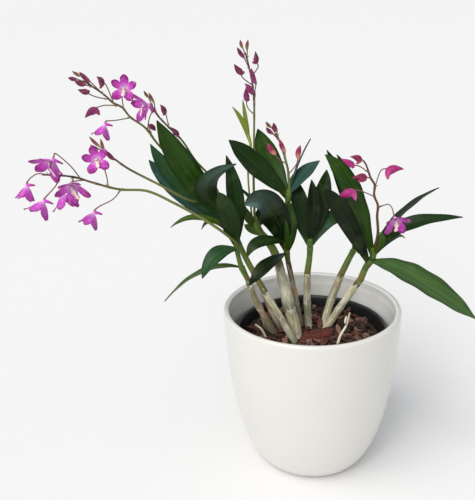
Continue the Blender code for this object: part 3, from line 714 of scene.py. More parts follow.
@dataclass(frozen=True)
class Bark(Finish):
    """Dry bark: layered, cracked and rough, with paler scales."""

    scale: Colour = screen(176, 136, 118)
    crack: Colour = screen(24, 15, 12)
    crumb: Colour = (0.16, 0.07, 0.045)
    specular: float = 0.3
    strength: float = 0.9
    depth: float = 0.9

    def draw(self, graph: Graph, tint: Socket) -> Look:
        """Draws layers across the chip, dark cracks, pale scales and crumbs."""
        layers = graph.mask("fibres", 0.2, 1.7, 0.4, 0.62)
        scales = graph.mask("fibres", 0.9, 0.5, 0.54, 0.64)
        cracks = graph.mask("mottle", 0.75, 0.6, 0.44)
        crumbs = graph.mask("flecks", 1.3, 0.3)
        colour = graph.layers(tint, (layers, 0.45, self.crack), (scales, 0.5, self.scale),
                              (cracks, 0.28, self.crack), (crumbs, 0.35, self.crumb))
        height = graph.plus(graph.times(layers, 0.6), graph.noise(0.9, 5.0, 0.7))
        return colour, graph.remap(scales, 0.0, 1.0, 0.72, 0.95), height


@dataclass(frozen=True)
class Husk(Finish):
    """Dry papery sheath or corky root: fine lengthwise fibres over soft patches."""

    fibre: Colour = screen(92, 74, 50)
    streak: Colour = screen(116, 122, 96)
    patch: Colour = screen(226, 220, 196)
    fineness: float = 2.4
    fibre_share: float = 0.42
    dullness: float = 0.62
    specular: float = 0.3
    strength: float = 0.8
    depth: float = 0.22

    def draw(self, graph: Graph, tint: Socket) -> Look:
        """Draws pale patches, broad streaks, fine fibres and small brown pores."""
        lines = graph.mask("fibres", self.fineness, 0.05, 0.5, 0.66)
        broad = graph.mask("fibres", 0.6, 0.055, 0.5, 0.62)
        pale = graph.mask("fibres", 0.42, 0.075, 0.53, 0.64)
        pores = graph.mask("flecks", 0.8, 0.2)
        colour = graph.layers(tint, (broad, 0.6, self.streak), (pale, 0.5, self.patch),
                              (lines, self.fibre_share, self.fibre), (pores, 0.35, self.fibre))
        height = graph.math('SUBTRACT', graph.noise(0.5, 3.0), graph.times(lines, 0.8))
        return colour, graph.remap(pale, 0.0, 1.0, self.dullness, self.dullness - 0.14), height


@dataclass(frozen=True)
class LeafSkin(Finish):
    """Waxy leaf: a pale middle rib, fine veins, soft bands, a darker rim and a duller back."""

    rib: Colour = screen(124, 150, 88)
    shade: Colour = screen(8, 22, 11)
    bloom: Colour = screen(128, 150, 84)
    back: Colour = screen(92, 122, 66)
    gloss: float = 0.3
    specular: float = 0.14
    strength: float = 0.55
    depth: float = 0.3

    def draw(self, graph: Graph, tint: Socket) -> Look:
        """Draws bands and veins along the leaf, the rib, the rim and the back."""
        along, across, under = graph.parts(graph.carried("place"))
        off = graph.math('ABSOLUTE', across)
        bands = graph.mask("fibres", 0.3, 0.012, 0.38, 0.64)
        veins = graph.mask("fibres", 2.2, 0.02, 0.45, 0.7)
        cloud = graph.mask("mottle", 0.06, 0.5, 0.68)
        line = graph.remap(off, 0.07, 0.015)
        colour = graph.layers(tint, (bands, 0.36, self.shade), (veins, 0.04, self.rib),
                              (cloud, 0.07, self.bloom), (under, 0.08, self.back))
        colour = graph.blend(graph.remap(off, 0.55, 1.0, 0.0, 0.42), colour, self.shade)
        faded = graph.times(line, graph.remap(along, 1.0, 0.5, 0.0, 0.05))
        dull = graph.plus(graph.plus(graph.times(cloud, 0.12), self.gloss), graph.times(under, 0.15))
        height = graph.plus(graph.times(veins, 0.35), graph.times(line, -1.0))
        return graph.blend(faded, colour, self.rib), dull, graph.plus(height, graph.noise(0.35, 3.0))


@dataclass(frozen=True)
class Petal(Finish):
    """Soft petal or bud skin: fine darker veins and a faint sparkle."""

    vein: Colour = screen(140, 8, 120)
    vein_share: float = 0.46
    pale: Colour = screen(240, 176, 238)
    pale_share: float = 0.24
    softness: float = 0.5
    specular: float = 0.25
    depth: float = 0.18

    def draw(self, graph: Graph, tint: Socket) -> Look:
        """Draws veins along the petal over a soft change of colour."""
        veins = graph.mask("fibres", 2.4, 0.12, 0.48, 0.68)
        cloud = graph.mask("mottle", 0.45, 0.45, 0.7)
        colour = graph.layers(tint, (veins, self.vein_share, self.vein), (cloud, self.pale_share, self.pale))
        sparkle = graph.noise(9.0)
        height = graph.plus(graph.times(veins, -0.6), graph.times(sparkle, 0.4))
        dull = graph.remap(sparkle, 0.3, 0.7, self.softness - 0.1, self.softness + 0.12)
        return colour, dull, height, {"Sheen Weight": 0.12, "Sheen Roughness": 0.4}


@dataclass(frozen=True)
class LipSkin(Finish):
    """Pale lip with purple spots and veins."""

    spot: Colour = screen(120, 20, 90)
    strength: float = 0.5

    def draw(self, graph: Graph, tint: Socket) -> Look:
        """Draws spots and veins on the pale ground."""
        spots = graph.mask("mottle", 1.25, 0.56, 0.62)
        veins = graph.mask("fibres", 2.2, 0.3, 0.5, 0.68)
        colour = graph.layers(tint, (spots, 0.6, self.spot), (veins, 0.15, self.spot))
        return colour, graph.remap(spots, 0.0, 1.0, 0.42, 0.55), graph.noise(2.5, 3.0)


@dataclass(frozen=True)
class StalkSkin(Finish):
    """Green to purple stalk: low ribs along it and small dark flecks."""

    rib: Colour = screen(46, 34, 26)
    specular: float = 0.3

    def draw(self, graph: Graph, tint: Socket) -> Look:
        """Draws ribs and flecks along the stalk."""
        ribs = graph.mask("fibres", 1.9, 0.06, 0.46, 0.66)
        spots = graph.mask("flecks", 0.9, 0.24)
        colour = graph.layers(tint, (ribs, 0.35, self.rib), (spots, 0.4, self.rib))
        height = graph.math('SUBTRACT', graph.noise(1.2), ribs)
        return colour, graph.remap(ribs, 0.0, 1.0, 0.42, 0.6), height


@dataclass(frozen=True)
class FloorCoat(Finish):
    """Plain pale studio floor."""

    ground: Colour = (0.82, 0.812, 0.812)
    cloudy: Colour = (0.8, 0.794, 0.794)
    specular: float = 0.1

    def draw(self, graph: Graph, tint: Socket) -> Look:
        """Draws an even pale ground with hardly visible clouds."""
        graph.grain = graph.node("TexCoord").outputs["Object"]
        cloud = graph.mask("mottle", 3.0, 0.3, 0.7)
        colour = graph.layers(self.ground, (cloud, 0.3, self.cloudy))
        return colour, graph.remap(cloud, 0.0, 1.0, 0.75, 0.85), None


GLAZE = Glaze("satin_glaze")
BLACK_PLASTIC = Plastic("black_plastic")
DRY_BARK = Bark("dry_bark")
SHEATH = Husk("papery_sheath")
OLD_SHEATH = Husk("old_sheath", fibre=screen(74, 44, 34), streak=screen(120, 80, 66),
                  patch=screen(196, 164, 146), dullness=0.72)
CORK = Husk("corky_root", fibre=screen(168, 150, 112), streak=screen(206, 196, 166),
            patch=screen(246, 242, 228), fineness=1.4, fibre_share=0.25, dullness=0.8, depth=0.3)
DRY_BRACT = Husk("dry_bract", fibre=screen(110, 84, 60), patch=screen(214, 196, 160), fineness=4.0)
WAXY_LEAF = LeafSkin("waxy_leaf")
SOFT_LEAF = LeafSkin("soft_young_leaf", rib=screen(196, 206, 110), shade=screen(96, 104, 40),
                     bloom=screen(206, 214, 140), back=screen(170, 186, 96), gloss=0.42)
PETAL_SKIN = Petal("petal_skin")
BUD_SKIN = Petal("bud_skin", vein=screen(84, 18, 62), vein_share=0.4, pale=screen(206, 120, 176),
                 pale_share=0.2, softness=0.42)
LIP_SKIN = LipSkin("lip_skin")
STALK_SKIN = StalkSkin("stalk_skin")
STALK_GREEN = StalkSkin("green_stem", rib=screen(70, 74, 40))
YOUNG_STEM = StalkSkin("young_stem", rib=screen(104, 104, 48))
FLOOR_COAT = FloorCoat("floor_coat")


# Pots and bark


@dataclass
class Cachepot:
    """White glazed pot: an egg-cup curve from a flat foot to a rounded lip, a ledge inside."""

    height: float = 168.0
    radius: float = 87.5
    foot_radius: float = 48.0
    curve: float = 1.93
    roundness: float = 1.84
    wall: float = 5.5
    floor: float = 6.0
    ledge_depth: float = 10.0
    ledge: float = 0.3
    lip_drop: float = 3.1
    lip_rise: float = 2.7
    sides: int = 180
    white: Colour = screen(215, 213, 207)
    # Paler white for the inside: painted light standing in for light falling into the pot.
    inner_white_painted_light: Colour = screen(250, 249, 245)

    def outer_radius(self, height: float) -> float:
        """Outer radius at a height."""
        share = min(max(height / self.height, 0.0), 1.0)
        rise = (1.0 - (1.0 - share) ** self.curve) ** (1.0 / self.roundness)
        return self.foot_radius + (self.radius - self.foot_radius) * rise

    def outside(self) -> list[Point]:
        """The profile under the foot and up the outer wall."""
        rows = [(1.0, 0.9, 1.0), (38.0, 0.9, 1.0), (41.5, 0.3, 1.0), (43.0, 0.0, 1.0), (47.0, 0.0, 1.0),
                (48.6, 0.15, 0.4), (50.0, 0.6, 0.0), (51.6, 1.25, 0.0)]
        height = 2.4
        while height < self.height - self.lip_drop - 1.0:
            rows.append((self.outer_radius(height), height, 0.0))
            height += 1.2 if height < 16.0 else 3.4
        return rows

    def lip(self) -> list[Point]:
        """The rounded lip, from the outer wall over the top to the inner wall."""
        middle = self.radius - 0.5 * self.wall
        low = self.height - self.lip_drop
        return [(middle + 0.5 * self.wall * math.cos(angle), low + self.lip_rise * math.sin(angle), 0.0)
                for angle in (math.pi * i / 14.0 for i in range(15))]

    def inside(self) -> list[Point]:
        """The inner wall with its ledge, down to the middle of the floor."""
        ledge = self.height - self.ledge_depth
        top = self.outer_radius(ledge) - self.wall
        rows = [(self.radius - self.wall, ledge + 5.0, 0.0), (top + 0.02, ledge + 0.5, 0.0),
                (top - 0.1, ledge, 0.0), (top - self.ledge + 0.12, ledge - 0.5, 0.0),
                (top - self.ledge, ledge - 1.2, 0.0)]
        height = ledge - 5.0
        while height > 14.0:
            rows.append((self.outer_radius(height) - self.wall - self.ledge, height, 0.0))
            height -= 5.0
        rows.extend([(self.outer_radius(9.0) - self.wall - 2.0, 8.5, 0.0),
                     (self.outer_radius(6.0) - self.wall - 7.0, self.floor, 0.0), (1.0, self.floor, 0.0)])
        return rows

    def build(self) -> None:
        """Makes the pot and glazes it, with a paler inside as painted light."""
        draft = Draft()
        # Points of the inner wall get the paler white: painted light.
        draft.turn(self.outside() + self.lip() + self.inside(), self.sides, lambda radius, height: (
            self.inner_white_painted_light if radius < self.outer_radius(height) - 0.8 * self.wall else self.white))
        draft.piece("cachepot_glazed", "cachepot", "cachepot", GLAZE)


@dataclass
class NurseryPot:
    """Black pot inside the white one: a tapered ribbed wall and a rolled rim."""

    floor: float = 6.3
    foot_radius: float = 45.0
    wall_top_radius: float = 72.6
    wall_top: float = 138.5
    rim_radius: float = 75.0
    rim_top: float = 144.5
    wall: float = 1.4
    sides: int = 144
    rib_count: int = 24
    black: Colour = (0.012, 0.012, 0.013)

    def inner_radius(self, height: float) -> float:
        """Inner radius of the wall at a height."""
        low, foot = self.floor + self.wall, self.foot_radius - self.wall
        return foot + (self.wall_top_radius - self.wall - foot) * ((height - low) / (self.wall_top - low))

    def profile(self) -> list[Point]:
        """The closed profile, from under the floor over the rim and down inside."""
        rim = self.rim_radius
        low = self.floor + self.wall
        rows = [(1.0, self.floor), (self.foot_radius - 1.0, self.floor), (self.foot_radius, self.floor + 1.0)]
        for share in (i / 12.0 for i in range(1, 12)):
            rows.append((self.foot_radius + (self.wall_top_radius - self.foot_radius) * share,
                         self.floor + 1.0 + (self.wall_top - self.floor - 1.0) * share))
        rows += [(self.wall_top_radius, self.wall_top), (rim - 0.6, self.wall_top + 0.3),
                 (rim, self.wall_top + 0.9), (rim + 0.2, 141.0), (rim + 0.3, 143.2), (rim + 0.1, 144.1),
                 (rim - 0.5, self.rim_top), (rim - 1.6, self.rim_top - 0.1), (rim - 2.4, 143.8),
                 (self.wall_top_radius - 0.5, 142.6), (self.wall_top_radius - self.wall, self.wall_top)]
        for i in range(1, 10):
            height = self.wall_top + (low - self.wall_top) * i / 10.0
            rows.append((self.inner_radius(height), height))
        rows += [(self.inner_radius(low), low), (1.0, low)]
        return [(radius, height, 0.0) for radius, height in rows]

    def build(self) -> None:
        """Makes the pot, presses low ribs into its wall and dresses it."""
        draft = Draft()
        draft.turn(self.profile(), self.sides, lambda radius, height: self.black)
        for point in draft.points:
            if 12.0 < point.z < self.wall_top - 3.0 and point.xy.length > 20.0:
                angle = math.atan2(point.y, point.x) * self.rib_count
                point.xy *= 1.0 - 0.003 * eased(math.cos(angle), 0.3, 0.9)
        draft.piece("nursery_pot_moulded", "nursery_pot", "nursery_pot", BLACK_PLASTIC)


class BarkTone(Enum):
    """Colours that bark chips come in."""

    DARK = screen(36, 23, 19)
    UMBER = screen(70, 45, 35)
    BROWN = screen(102, 62, 47)
    RED = screen(122, 62, 43)
    TAN = screen(168, 130, 114)
    RUST = screen(138, 52, 27)


@dataclass
class BarkBed:
    """Bark: a crumbly fill and many loose splinters and chips on it."""

    pot: NurseryPot
    stems: list[tuple[float, float, float]]
    low: float = 8.2
    top: float = 133.4
    play: float = 0.6
    chip_count: int = 540
    chip_spread: float = 62.5
    chip_reach: float = 71.0
    big_chip: Point = (5.0, -9.0, 138.0)
    big_chip_size: Point = (36.0, 16.0, 7.0)
    fill_rings: int = 26
    rows: int = 6
    columns: int = 12
    seed: int = 41

    def fill(self) -> Draft:
        """The crumbly body under the chips, in the darkest tone as painted shade between the chips."""
        draft = Draft()
        wall = self.pot.inner_radius(self.low) - self.play
        edge = self.pot.inner_radius(self.top) - self.play
        rows = [(1.0, self.low, 0.0), (wall, self.low, 0.0),
                (0.5 * (wall + edge), 0.5 * (self.low + self.top), 0.0),
                (edge - 0.3, self.top - 2.0, 0.0), (edge - 1.5, self.top, 0.0)]
        for i in range(1, self.fill_rings):
            rows.append(((edge - 1.5) * (1.0 - i / self.fill_rings), self.top + 0.4, 0.0))
        # Darkest bark tone: painted shade where the fill shows between the chips.
        draft.turn(rows, 120, lambda radius, height: BarkTone.DARK.value)
        for point in draft.points:
            if point.z > self.top - 0.5:
                point.z += 1.2 * rough(point, 0.16) + 0.6 * rough(point, 0.5)
        return draft

    def chip(self, draft: Draft, centre: Vector, size: Point, turn: float, tilt: float, tone: BarkTone,
             rng: random.Random) -> None:
        """Adds one flat, split and slightly curled chip.

        Args:
            draft: the piece that it joins.
            centre: its middle.
            size: its length, breadth and thickness.
            turn: its turn about the upright, in degrees.
            tilt: how far one end is raised, in degrees.
            tone: its colour.
            rng: source of its own irregular shape.
        """
        pose = turned(turn, 'Z', 3) @ turned(tilt, 'Y', 3)
        seed = Vector([rng.uniform(0.0, 90.0) for _ in range(3)])
        tint = mixed(tone.value, BarkTone.DARK.value, rng.uniform(0.0, 0.5))
        skew = rng.uniform(-0.4, 0.4)
        curl = rng.uniform(-0.16, 0.16)
        for i in range(self.rows):
            rise = math.radians(-80.0 + 160.0 * i / (self.rows - 1.0))
            level = math.copysign(abs(math.sin(rise)) ** 0.55, rise)
            reach = math.cos(rise) ** 0.3
            draft.rings.append([])
            for k in range(self.columns):
                angle = math.tau * k / self.columns
                x = math.copysign(abs(math.cos(angle)) ** 0.5, math.cos(angle)) * reach
                y = math.copysign(abs(math.sin(angle)) ** 0.5, math.sin(angle)) * reach
                spot = Vector((0.5 * size[0] * (x + skew * y), 0.5 * size[1] * y, 0.5 * size[2] * level))
                spot *= 1.0 + 0.3 * rough(spot + seed, 0.22) + 0.14 * rough(spot + seed, 0.8)
                spot.z += curl * size[0] * (x * x - 0.4)
                draft.dot(centre + pose @ spot, tint, (0.0, 0.0, 0.0), tuple(spot + seed))
        draft.skin()

    def clear_of_stems(self, x: float, y: float, reach: float) -> bool:
        """Whether a place keeps off every stem."""
        return all(math.hypot(x - a, y - b) > radius + reach for a, b, radius in self.stems)

    def chips(self) -> Draft:
        """All loose chips, in two rough layers, and the big one at the front."""
        rng = random.Random(self.seed)
        draft = Draft()
        tones = list(BarkTone)[:5]
        self.chip(draft, Vector(self.big_chip), self.big_chip_size, 8.0, -5.0, BarkTone.RUST, rng)
        for i in range(self.chip_count):
            angle = 2.4 * i + rng.uniform(-0.4, 0.4)
            distance = self.chip_spread * math.sqrt((i + 0.5) / self.chip_count)
            x = distance * math.cos(angle)
            y = distance * math.sin(angle)
            upper = i % 3 == 0
            length = min(rng.uniform(8.0, 20.0 if upper else 15.0), 1.9 * (self.chip_reach - distance))
            size = (length, length * rng.uniform(0.24, 0.52), rng.uniform(1.1, 2.8))
            level = rng.uniform(135.6, 138.0) if upper else rng.uniform(133.4, 136.0)
            turn = rng.uniform(0.0, 180.0)
            tilt = rng.uniform(-38.0, 38.0) if upper else rng.uniform(-24.0, 24.0)
            tone = tones[rng.randrange(len(tones))]
            off_big_chip = math.hypot(x - self.big_chip[0], y - self.big_chip[1]) > 9.0
            if off_big_chip and self.clear_of_stems(x, y, 2.0 if upper else 0.5):
                self.chip(draft, Vector((x, y, level)), size, turn, tilt, tone, rng)
        return draft

    def build(self) -> None:
        """Makes the fill and the chips and dresses them."""
        self.fill().piece("bark_fill", "bark", "bark", DRY_BARK)
        self.chips().piece("bark_chips", "bark", "bark", DRY_BARK)


# Canes and roots


class CaneTone(Enum):
    """Colours of a cane and its dry sheaths."""

    GREEN = screen(98, 114, 42)
    OLIVE = screen(110, 106, 62)
    STRAW = screen(194, 186, 146)
    CREAM = screen(220, 214, 188)
    GREY = screen(150, 151, 130)
    MOSS = screen(108, 114, 90)
    TAN = screen(168, 148, 112)
    BROWN = screen(110, 86, 60)
    RUSSET = screen(168, 104, 58)
    PLUM = screen(62, 44, 34)
    PINK = screen(204, 186, 172)
    RING = screen(44, 38, 22)


@dataclass
class Cane:
    """A ringed cane: a stem that swells at its nodes, with papery sheaths round it."""

    name: str
    points: tuple[Point, ...]
    radii: tuple[float, ...]
    nodes: tuple[float, ...]
    colours: tuple[tuple[float, CaneTone], ...]
    sheaths: tuple[tuple[float, float], ...] = ((0.0, 0.46), (0.4, 0.86))
    finish: Husk = SHEATH
    swell: float = 0.12
    buried: float = 10.0
    count: int = 84
    sides: int = 26
    line: list[Vector] = field(init=False)

    def __post_init__(self) -> None:
        """Works out the middle line above the bark."""
        self.line = smooth_path(self.points, self.count)

    def coarse_top(self) -> tuple[Vector, Vector]:
        """The top and the way it faces, as the shoot on it needs them."""
        path = smooth_path(self.points, len(self.radii))
        return path[-1], (path[-1] - path[-2]).normalized()

    def width_at(self, share: float) -> float:
        """Radius at a share of the height, with the nodes' swelling."""
        size = flowing(spread(self.radii), share)
        for node in self.nodes:
            size += self.swell * peak(share, node, 0.02)
            size -= self.swell * peak(share - node, 0.035, 0.02)
        return size

    def tint_at(self, share: float) -> Colour:
        """Colour at a share of the height, dark at the nodes."""
        tint = colour_at([(at, tone.value) for at, tone in self.colours], share)
        for node in self.nodes:
            depth = 0.8 if node == self.nodes[-1] else 0.3
            tint = mixed(tint, CaneTone.RING.value, depth * peak(share, node, 0.009))
        return tint

    def stem(self, draft: Draft) -> None:
        """Adds the stem, from its buried foot to its top.

        Args:
            draft: the piece that it joins.
        """
        along = (self.line[1] - self.line[0]).normalized()
        step = (self.line[1] - self.line[0]).length
        extra = max(2, round(self.buried / step))
        path = [self.line[0] - along * (step * (extra - i)) for i in range(extra)] + self.line
        last = len(path) - 1.0

        def local(share: float) -> float:
            """The share above the bark."""
            return max(0.0, (share * last - extra) / (last - extra))

        draft.tube(path, lambda share, angle: self.width_at(local(share)) * (
            1.0 + 0.012 * math.sin(7.0 * angle) + 0.008 * math.sin(13.0 * angle + 1.0)
        ), self.sides, lambda share, angle: (self.tint_at(local(share)), 0.0))

    def sheath(self, draft: Draft, low: float, high: float, seed: float) -> None:
        """Adds one dry sheath with a torn upper edge.

        Args:
            draft: the piece that it joins.
            low: share of the height where it starts.
            high: share of the height where it ends.
            seed: moves the torn edge.
        """
        spine = Spine(self.line)
        rows = 9
        for row in (*range(rows + 1), *range(rows, -1, -1)):
            inner = len(draft.rings) > rows
            draft.rings.append([])
            for k in range(self.sides):
                angle = math.tau * k / self.sides
                torn = 0.34 * rough(Vector((math.cos(angle), math.sin(angle), seed)), 1.1)
                torn += 0.07 * rough(Vector((math.cos(angle), math.sin(angle), seed + 9.0)), 4.0)
                part = row / rows
                share = min(low + (high - low) * part * (1.0 + torn * part), 0.995)
                loose = 0.1 + 0.22 * part**3 * (0.6 + 0.8 * rough(Vector((angle, seed, 0.0)), 0.9))
                size = self.width_at(share) + (loose if not inner else loose - 0.24)
                tint = mixed(self.tint_at(share), CaneTone.CREAM.value, 0.1 + 0.6 * part**6)
                point = spine.surface(share, size, angle)
                grain = (size * math.cos(angle), size * math.sin(angle), share * spine.length + seed)
                draft.dot(point, tint, (share, k / self.sides, 0.0), grain)
        draft.skin(caps=False)

    def build(self) -> None:
        """Makes the stem and its sheaths and dresses them."""
        draft = Draft()
        self.stem(draft)
        for number, (low, high) in enumerate(self.sheaths):
            self.sheath(draft, low, high, 3.1 * number + self.points[0][0])
        slot = "cane_old" if self.finish is OLD_SHEATH else "cane"
        draft.piece(self.name + "_ringed", self.name, slot, self.finish)

    def hole(self) -> tuple[float, float, float]:
        """Place and radius at the bark's surface."""
        return self.line[0].x, self.line[0].y, max(self.radii[0], self.radii[1])


CANES = (
    Cane("cane_a", ((-39, 3, 138), (-54, -1, 172), (-63, -5, 200)),
         (4.2, 4.6, 4.0, 3.0, 3.3, 2.7, 2.8, 2.9, 2.6), (0.3, 0.56, 0.94), ((0.0, CaneTone.MOSS),
         (0.28, CaneTone.BROWN), (0.4, CaneTone.RUSSET), (0.5, CaneTone.TAN), (0.8, CaneTone.OLIVE),
         (1.0, CaneTone.GREEN))),
    Cane("cane_b", ((-20, -15, 138), (-35, -12, 167), (-49, -8, 192)),
         (3.2, 3.3, 3.1, 3.4, 3.1, 3.0, 3.3, 3.0, 3.0), (0.24, 0.47, 0.92), ((0.0, CaneTone.GREY),
         (0.25, CaneTone.CREAM), (0.4, CaneTone.MOSS), (0.55, CaneTone.STRAW), (0.85, CaneTone.CREAM),
         (0.9, CaneTone.BROWN), (0.96, CaneTone.GREEN), (1.0, CaneTone.GREEN)), ((0.0, 0.5), (0.44, 0.9))),
    Cane("cane_old", ((-31, 10, 138), (-41, 10, 161), (-49, 12, 182)), (2.6, 2.8, 2.4, 2.7, 2.3, 2.4, 1.6),
         (0.22, 0.45, 0.68, 0.88), ((0.0, CaneTone.BROWN), (0.35, CaneTone.PINK), (0.6, CaneTone.TAN),
         (1.0, CaneTone.BROWN)), finish=OLD_SHEATH),
    Cane("cane_c", ((-15, -5, 138), (-24, 0, 175), (-32, 5, 212)),
         (5.2, 5.9, 6.2, 5.6, 6.1, 5.8, 5.4, 4.8, 4.4, 4.2), (0.2, 0.42, 0.97), ((0.0, CaneTone.PINK),
         (0.2, CaneTone.STRAW), (0.34, CaneTone.MOSS), (0.45, CaneTone.GREY), (0.6, CaneTone.CREAM),
         (0.8, CaneTone.GREY), (1.0, CaneTone.OLIVE)), ((0.0, 0.4), (0.36, 0.92))),
    Cane("cane_d", ((-9, 17, 138), (-16, 15, 178), (-22, 12, 210)),
         (2.8, 2.9, 2.5, 2.8, 3.0, 2.5, 2.6, 2.7, 2.6), (0.2, 0.42, 0.72), ((0.0, CaneTone.GREY),
         (0.3, CaneTone.MOSS), (0.5, CaneTone.TAN), (0.58, CaneTone.RUSSET), (0.66, CaneTone.OLIVE),
         (0.85, CaneTone.BROWN), (1.0, CaneTone.PLUM)), ((0.0, 0.36), (0.3, 0.68))),
    Cane("cane_e", ((-1, 14, 138), (-3, 12, 170), (-3, 10, 198)), (3.5, 3.7, 3.4, 3.7, 3.4, 3.5, 3.2, 3.2),
         (0.26, 0.5, 0.95), ((0.0, CaneTone.CREAM), (0.12, CaneTone.GREY), (0.4, CaneTone.MOSS),
         (0.5, CaneTone.PINK), (0.62, CaneTone.CREAM), (0.75, CaneTone.TAN), (0.95, CaneTone.BROWN),
         (1.0, CaneTone.GREEN)), ((0.0, 0.46), (0.44, 0.94))),
    Cane("cane_f", ((17, 24, 138), (25, 30, 161), (35, 35, 185)), (3.4, 3.8, 3.6, 4.0, 3.8, 3.9, 3.5, 3.4),
         (0.28, 0.56, 0.97), ((0.0, CaneTone.CREAM), (0.3, CaneTone.STRAW), (0.5, CaneTone.GREY),
         (0.75, CaneTone.TAN), (0.95, CaneTone.OLIVE), (1.0, CaneTone.GREEN)), ((0.0, 0.44), (0.4, 0.96))),
    Cane("cane_g", ((16, 6, 138), (32, 3, 167), (48, 0, 193)), (3.4, 3.6, 3.3, 3.6, 3.3, 3.5, 3.2, 3.3),
         (0.24, 0.46, 0.9), ((0.0, CaneTone.CREAM), (0.25, CaneTone.STRAW), (0.45, CaneTone.GREY),
         (0.6, CaneTone.CREAM), (0.84, CaneTone.STRAW), (0.9, CaneTone.PLUM), (0.96, CaneTone.GREEN),
         (1.0, CaneTone.GREEN)), ((0.0, 0.44), (0.4, 0.88))),
)


@dataclass
class AerialRoot:
    """An ivory aerial root that grows out of the bark, with a fork where it has one."""

    name: str
    points: tuple[Point, ...]
    fork: tuple[Point, ...] = ()
    radii: tuple[float, ...] = (1.5, 1.4, 1.3, 1.15, 1.05, 1.0, 0.8)
    fork_radii: tuple[float, ...] = (1.0, 1.0, 0.95, 0.8)
    buried: float = 10.0
    ivory: Colour = screen(240, 234, 212)
    tip: Colour = screen(206, 184, 120)

    def strand(self, draft: Draft, path: list[Vector], radii: tuple[float, ...]) -> None:
        """Adds one lumpy strand with a rounded tip.

        Args:
            draft: the piece that it joins.
            path: the marks that it passes through.
            radii: its radii at even distances.
        """
        def radius(share: float, angle: float) -> float:
            """Radius with a knobbly outline."""
            place = Vector((math.cos(angle), math.sin(angle), share * 14.0))
            return flowing(spread(radii), share) * (1.0 + 0.1 * rough(place, 0.7))

        draft.tube(smooth_path(path, 40), radius, 16,
                   lambda share, angle: (mixed(self.ivory, self.tip, 0.7 * eased(share, 0.86, 1.0)), 0.0),
                   dome=1.0)

    def build(self) -> None:
        """Makes the root and dresses it."""
        draft = Draft()
        path = smooth_path(self.points, 6)
        along = (path[1] - path[0]).normalized()
        self.strand(draft, [path[0] - along * self.buried] + path, self.radii)
        if self.fork:
            self.strand(draft, [path[3], *self.fork], self.fork_radii)
        draft.piece(self.name + "_corky", self.name, "root", CORK)

    def hole(self) -> tuple[float, float, float]:
        """Place and radius at the bark's surface."""
        return self.points[0][0], self.points[0][1], self.radii[0]


ROOTS = (
    AerialRoot("root_left", ((-47, -5, 138), (-50.5, -6, 145.5), (-56, -7, 151))),
    AerialRoot("root_right",
               ((24, -23, 138), (26.5, -22, 145), (31.5, -20.5, 153), (33.5, -19.5, 160), (35, -19, 166)),
               ((30, -23.5, 159), (31, -23, 164.5))),
)


# Shoots and leaves


class Outline(Enum):
    """Leaf outlines: share of the length and share of the full width."""

    LANCE = ((0.0, 0.2), (0.12, 0.5), (0.28, 0.84), (0.45, 1.0), (0.62, 0.95), (0.78, 0.7), (0.9, 0.4),
             (1.0, 0.05))
    FULL = ((0.0, 0.15), (0.15, 0.5), (0.35, 0.86), (0.55, 1.0), (0.75, 0.9), (0.88, 0.6), (1.0, 0.05))


class LeafTone(Enum):
    """Greens that the leaves come in; MISTY and TEAL are blue-greens partly painted with sky reflection."""

    DARK = screen(13, 27, 6)
    DEEP = screen(24, 48, 12)
    SHADY = screen(28, 43, 24)
    GRASS = screen(42, 73, 17)
    LEAFY = screen(67, 95, 28)
    FRESH = screen(68, 99, 50)
    # MISTY and TEAL: leaf blue-green with painted sky reflection mixed in, for leaves that face up.
    MISTY = screen(41, 77, 44)
    TEAL = screen(54, 88, 78)
    YOUNG = screen(130, 149, 52)


@dataclass
class Leaf:
    """A folded lance-shaped leaf on an arched middle line."""

    start: float
    middle: Point
    tip: Point
    width: float
    face: Point
    fold: float
    tone: LeafTone
    outline: Outline = Outline.LANCE
    # Painted sheen: a pale blue-grey painted past the bend, standing for the sky's reflection on a curled
    # leaf.
    painted_sheen: float = 0.0
    painted_reflection_tint: Colour = screen(112, 142, 138)
    stations: int = 34
    rib: float = 1.0
    rim: float = 0.4
    least_half: float = 0.35

    def half_at(self, share: float) -> float:
        """Half the width along the leaf's surface at a share of its length."""
        return max(0.5 * self.width * flowing(self.outline.value, share), self.least_half)

    def shape(self, draft: Draft, foot: Vector, seed: float) -> None:
        """Adds the leaf.

        Args:
            draft: the piece that it joins.
            foot: where it leaves the stem.
            seed: moves its ripple and its markings.
        """
        path = arch_path(foot, self.middle, self.tip, self.stations)
        length = (Vector(self.tip) - foot).length
        slope = math.radians(self.fold)
        ripple = 0.022 * self.width
        waves = length / 26.0
        base = mixed(self.tone.value, LeafTone.YOUNG.value, 0.5)
        dry = mixed(self.tone.value, LeafTone.LEAFY.value, 0.5)

        def lift(share: float, across: float) -> float:
            """The fold, a soft ripple of each margin and the sunk middle rib."""
            wave = math.sin(math.tau * waves * share + seed + (1.6 if across > 0.0 else 0.0))
            ends = (eased(share, 0.05, 0.3), 1.0 - eased(share, 0.8, 1.0))
            height = self.half_at(share) * math.sin(slope) * abs(across) ** 1.25
            height += ripple * wave * across * across * ends[0] * ends[1]
            return height - 0.18 * peak(across, 0.0, 0.07)

        def paint(share: float, across: float, under: bool) -> Colour:
            """The leaf's green, yellower at its foot, with painted sky reflection past its bend, and lighter
            at its tip.
            """
            tint = mixed(base, self.tone.value, eased(share, -0.1, 0.1))
            # Painted reflection: blends towards the pale blue-grey past the bend.
            tint = mixed(tint, self.painted_reflection_tint, self.painted_sheen * eased(share, 0.35, 0.85) * (0.6 + 0.4 * across))
            return mixed(tint, dry, 0.4 * eased(share, 0.92, 1.0))

        draft.blade(path, self.face, lambda share: self.half_at(share) * math.cos(slope), lift,
                    lambda share, across: self.rim + (self.rib - self.rim) * (1.0 - abs(across)) ** 1.5,
                    paint, seed)


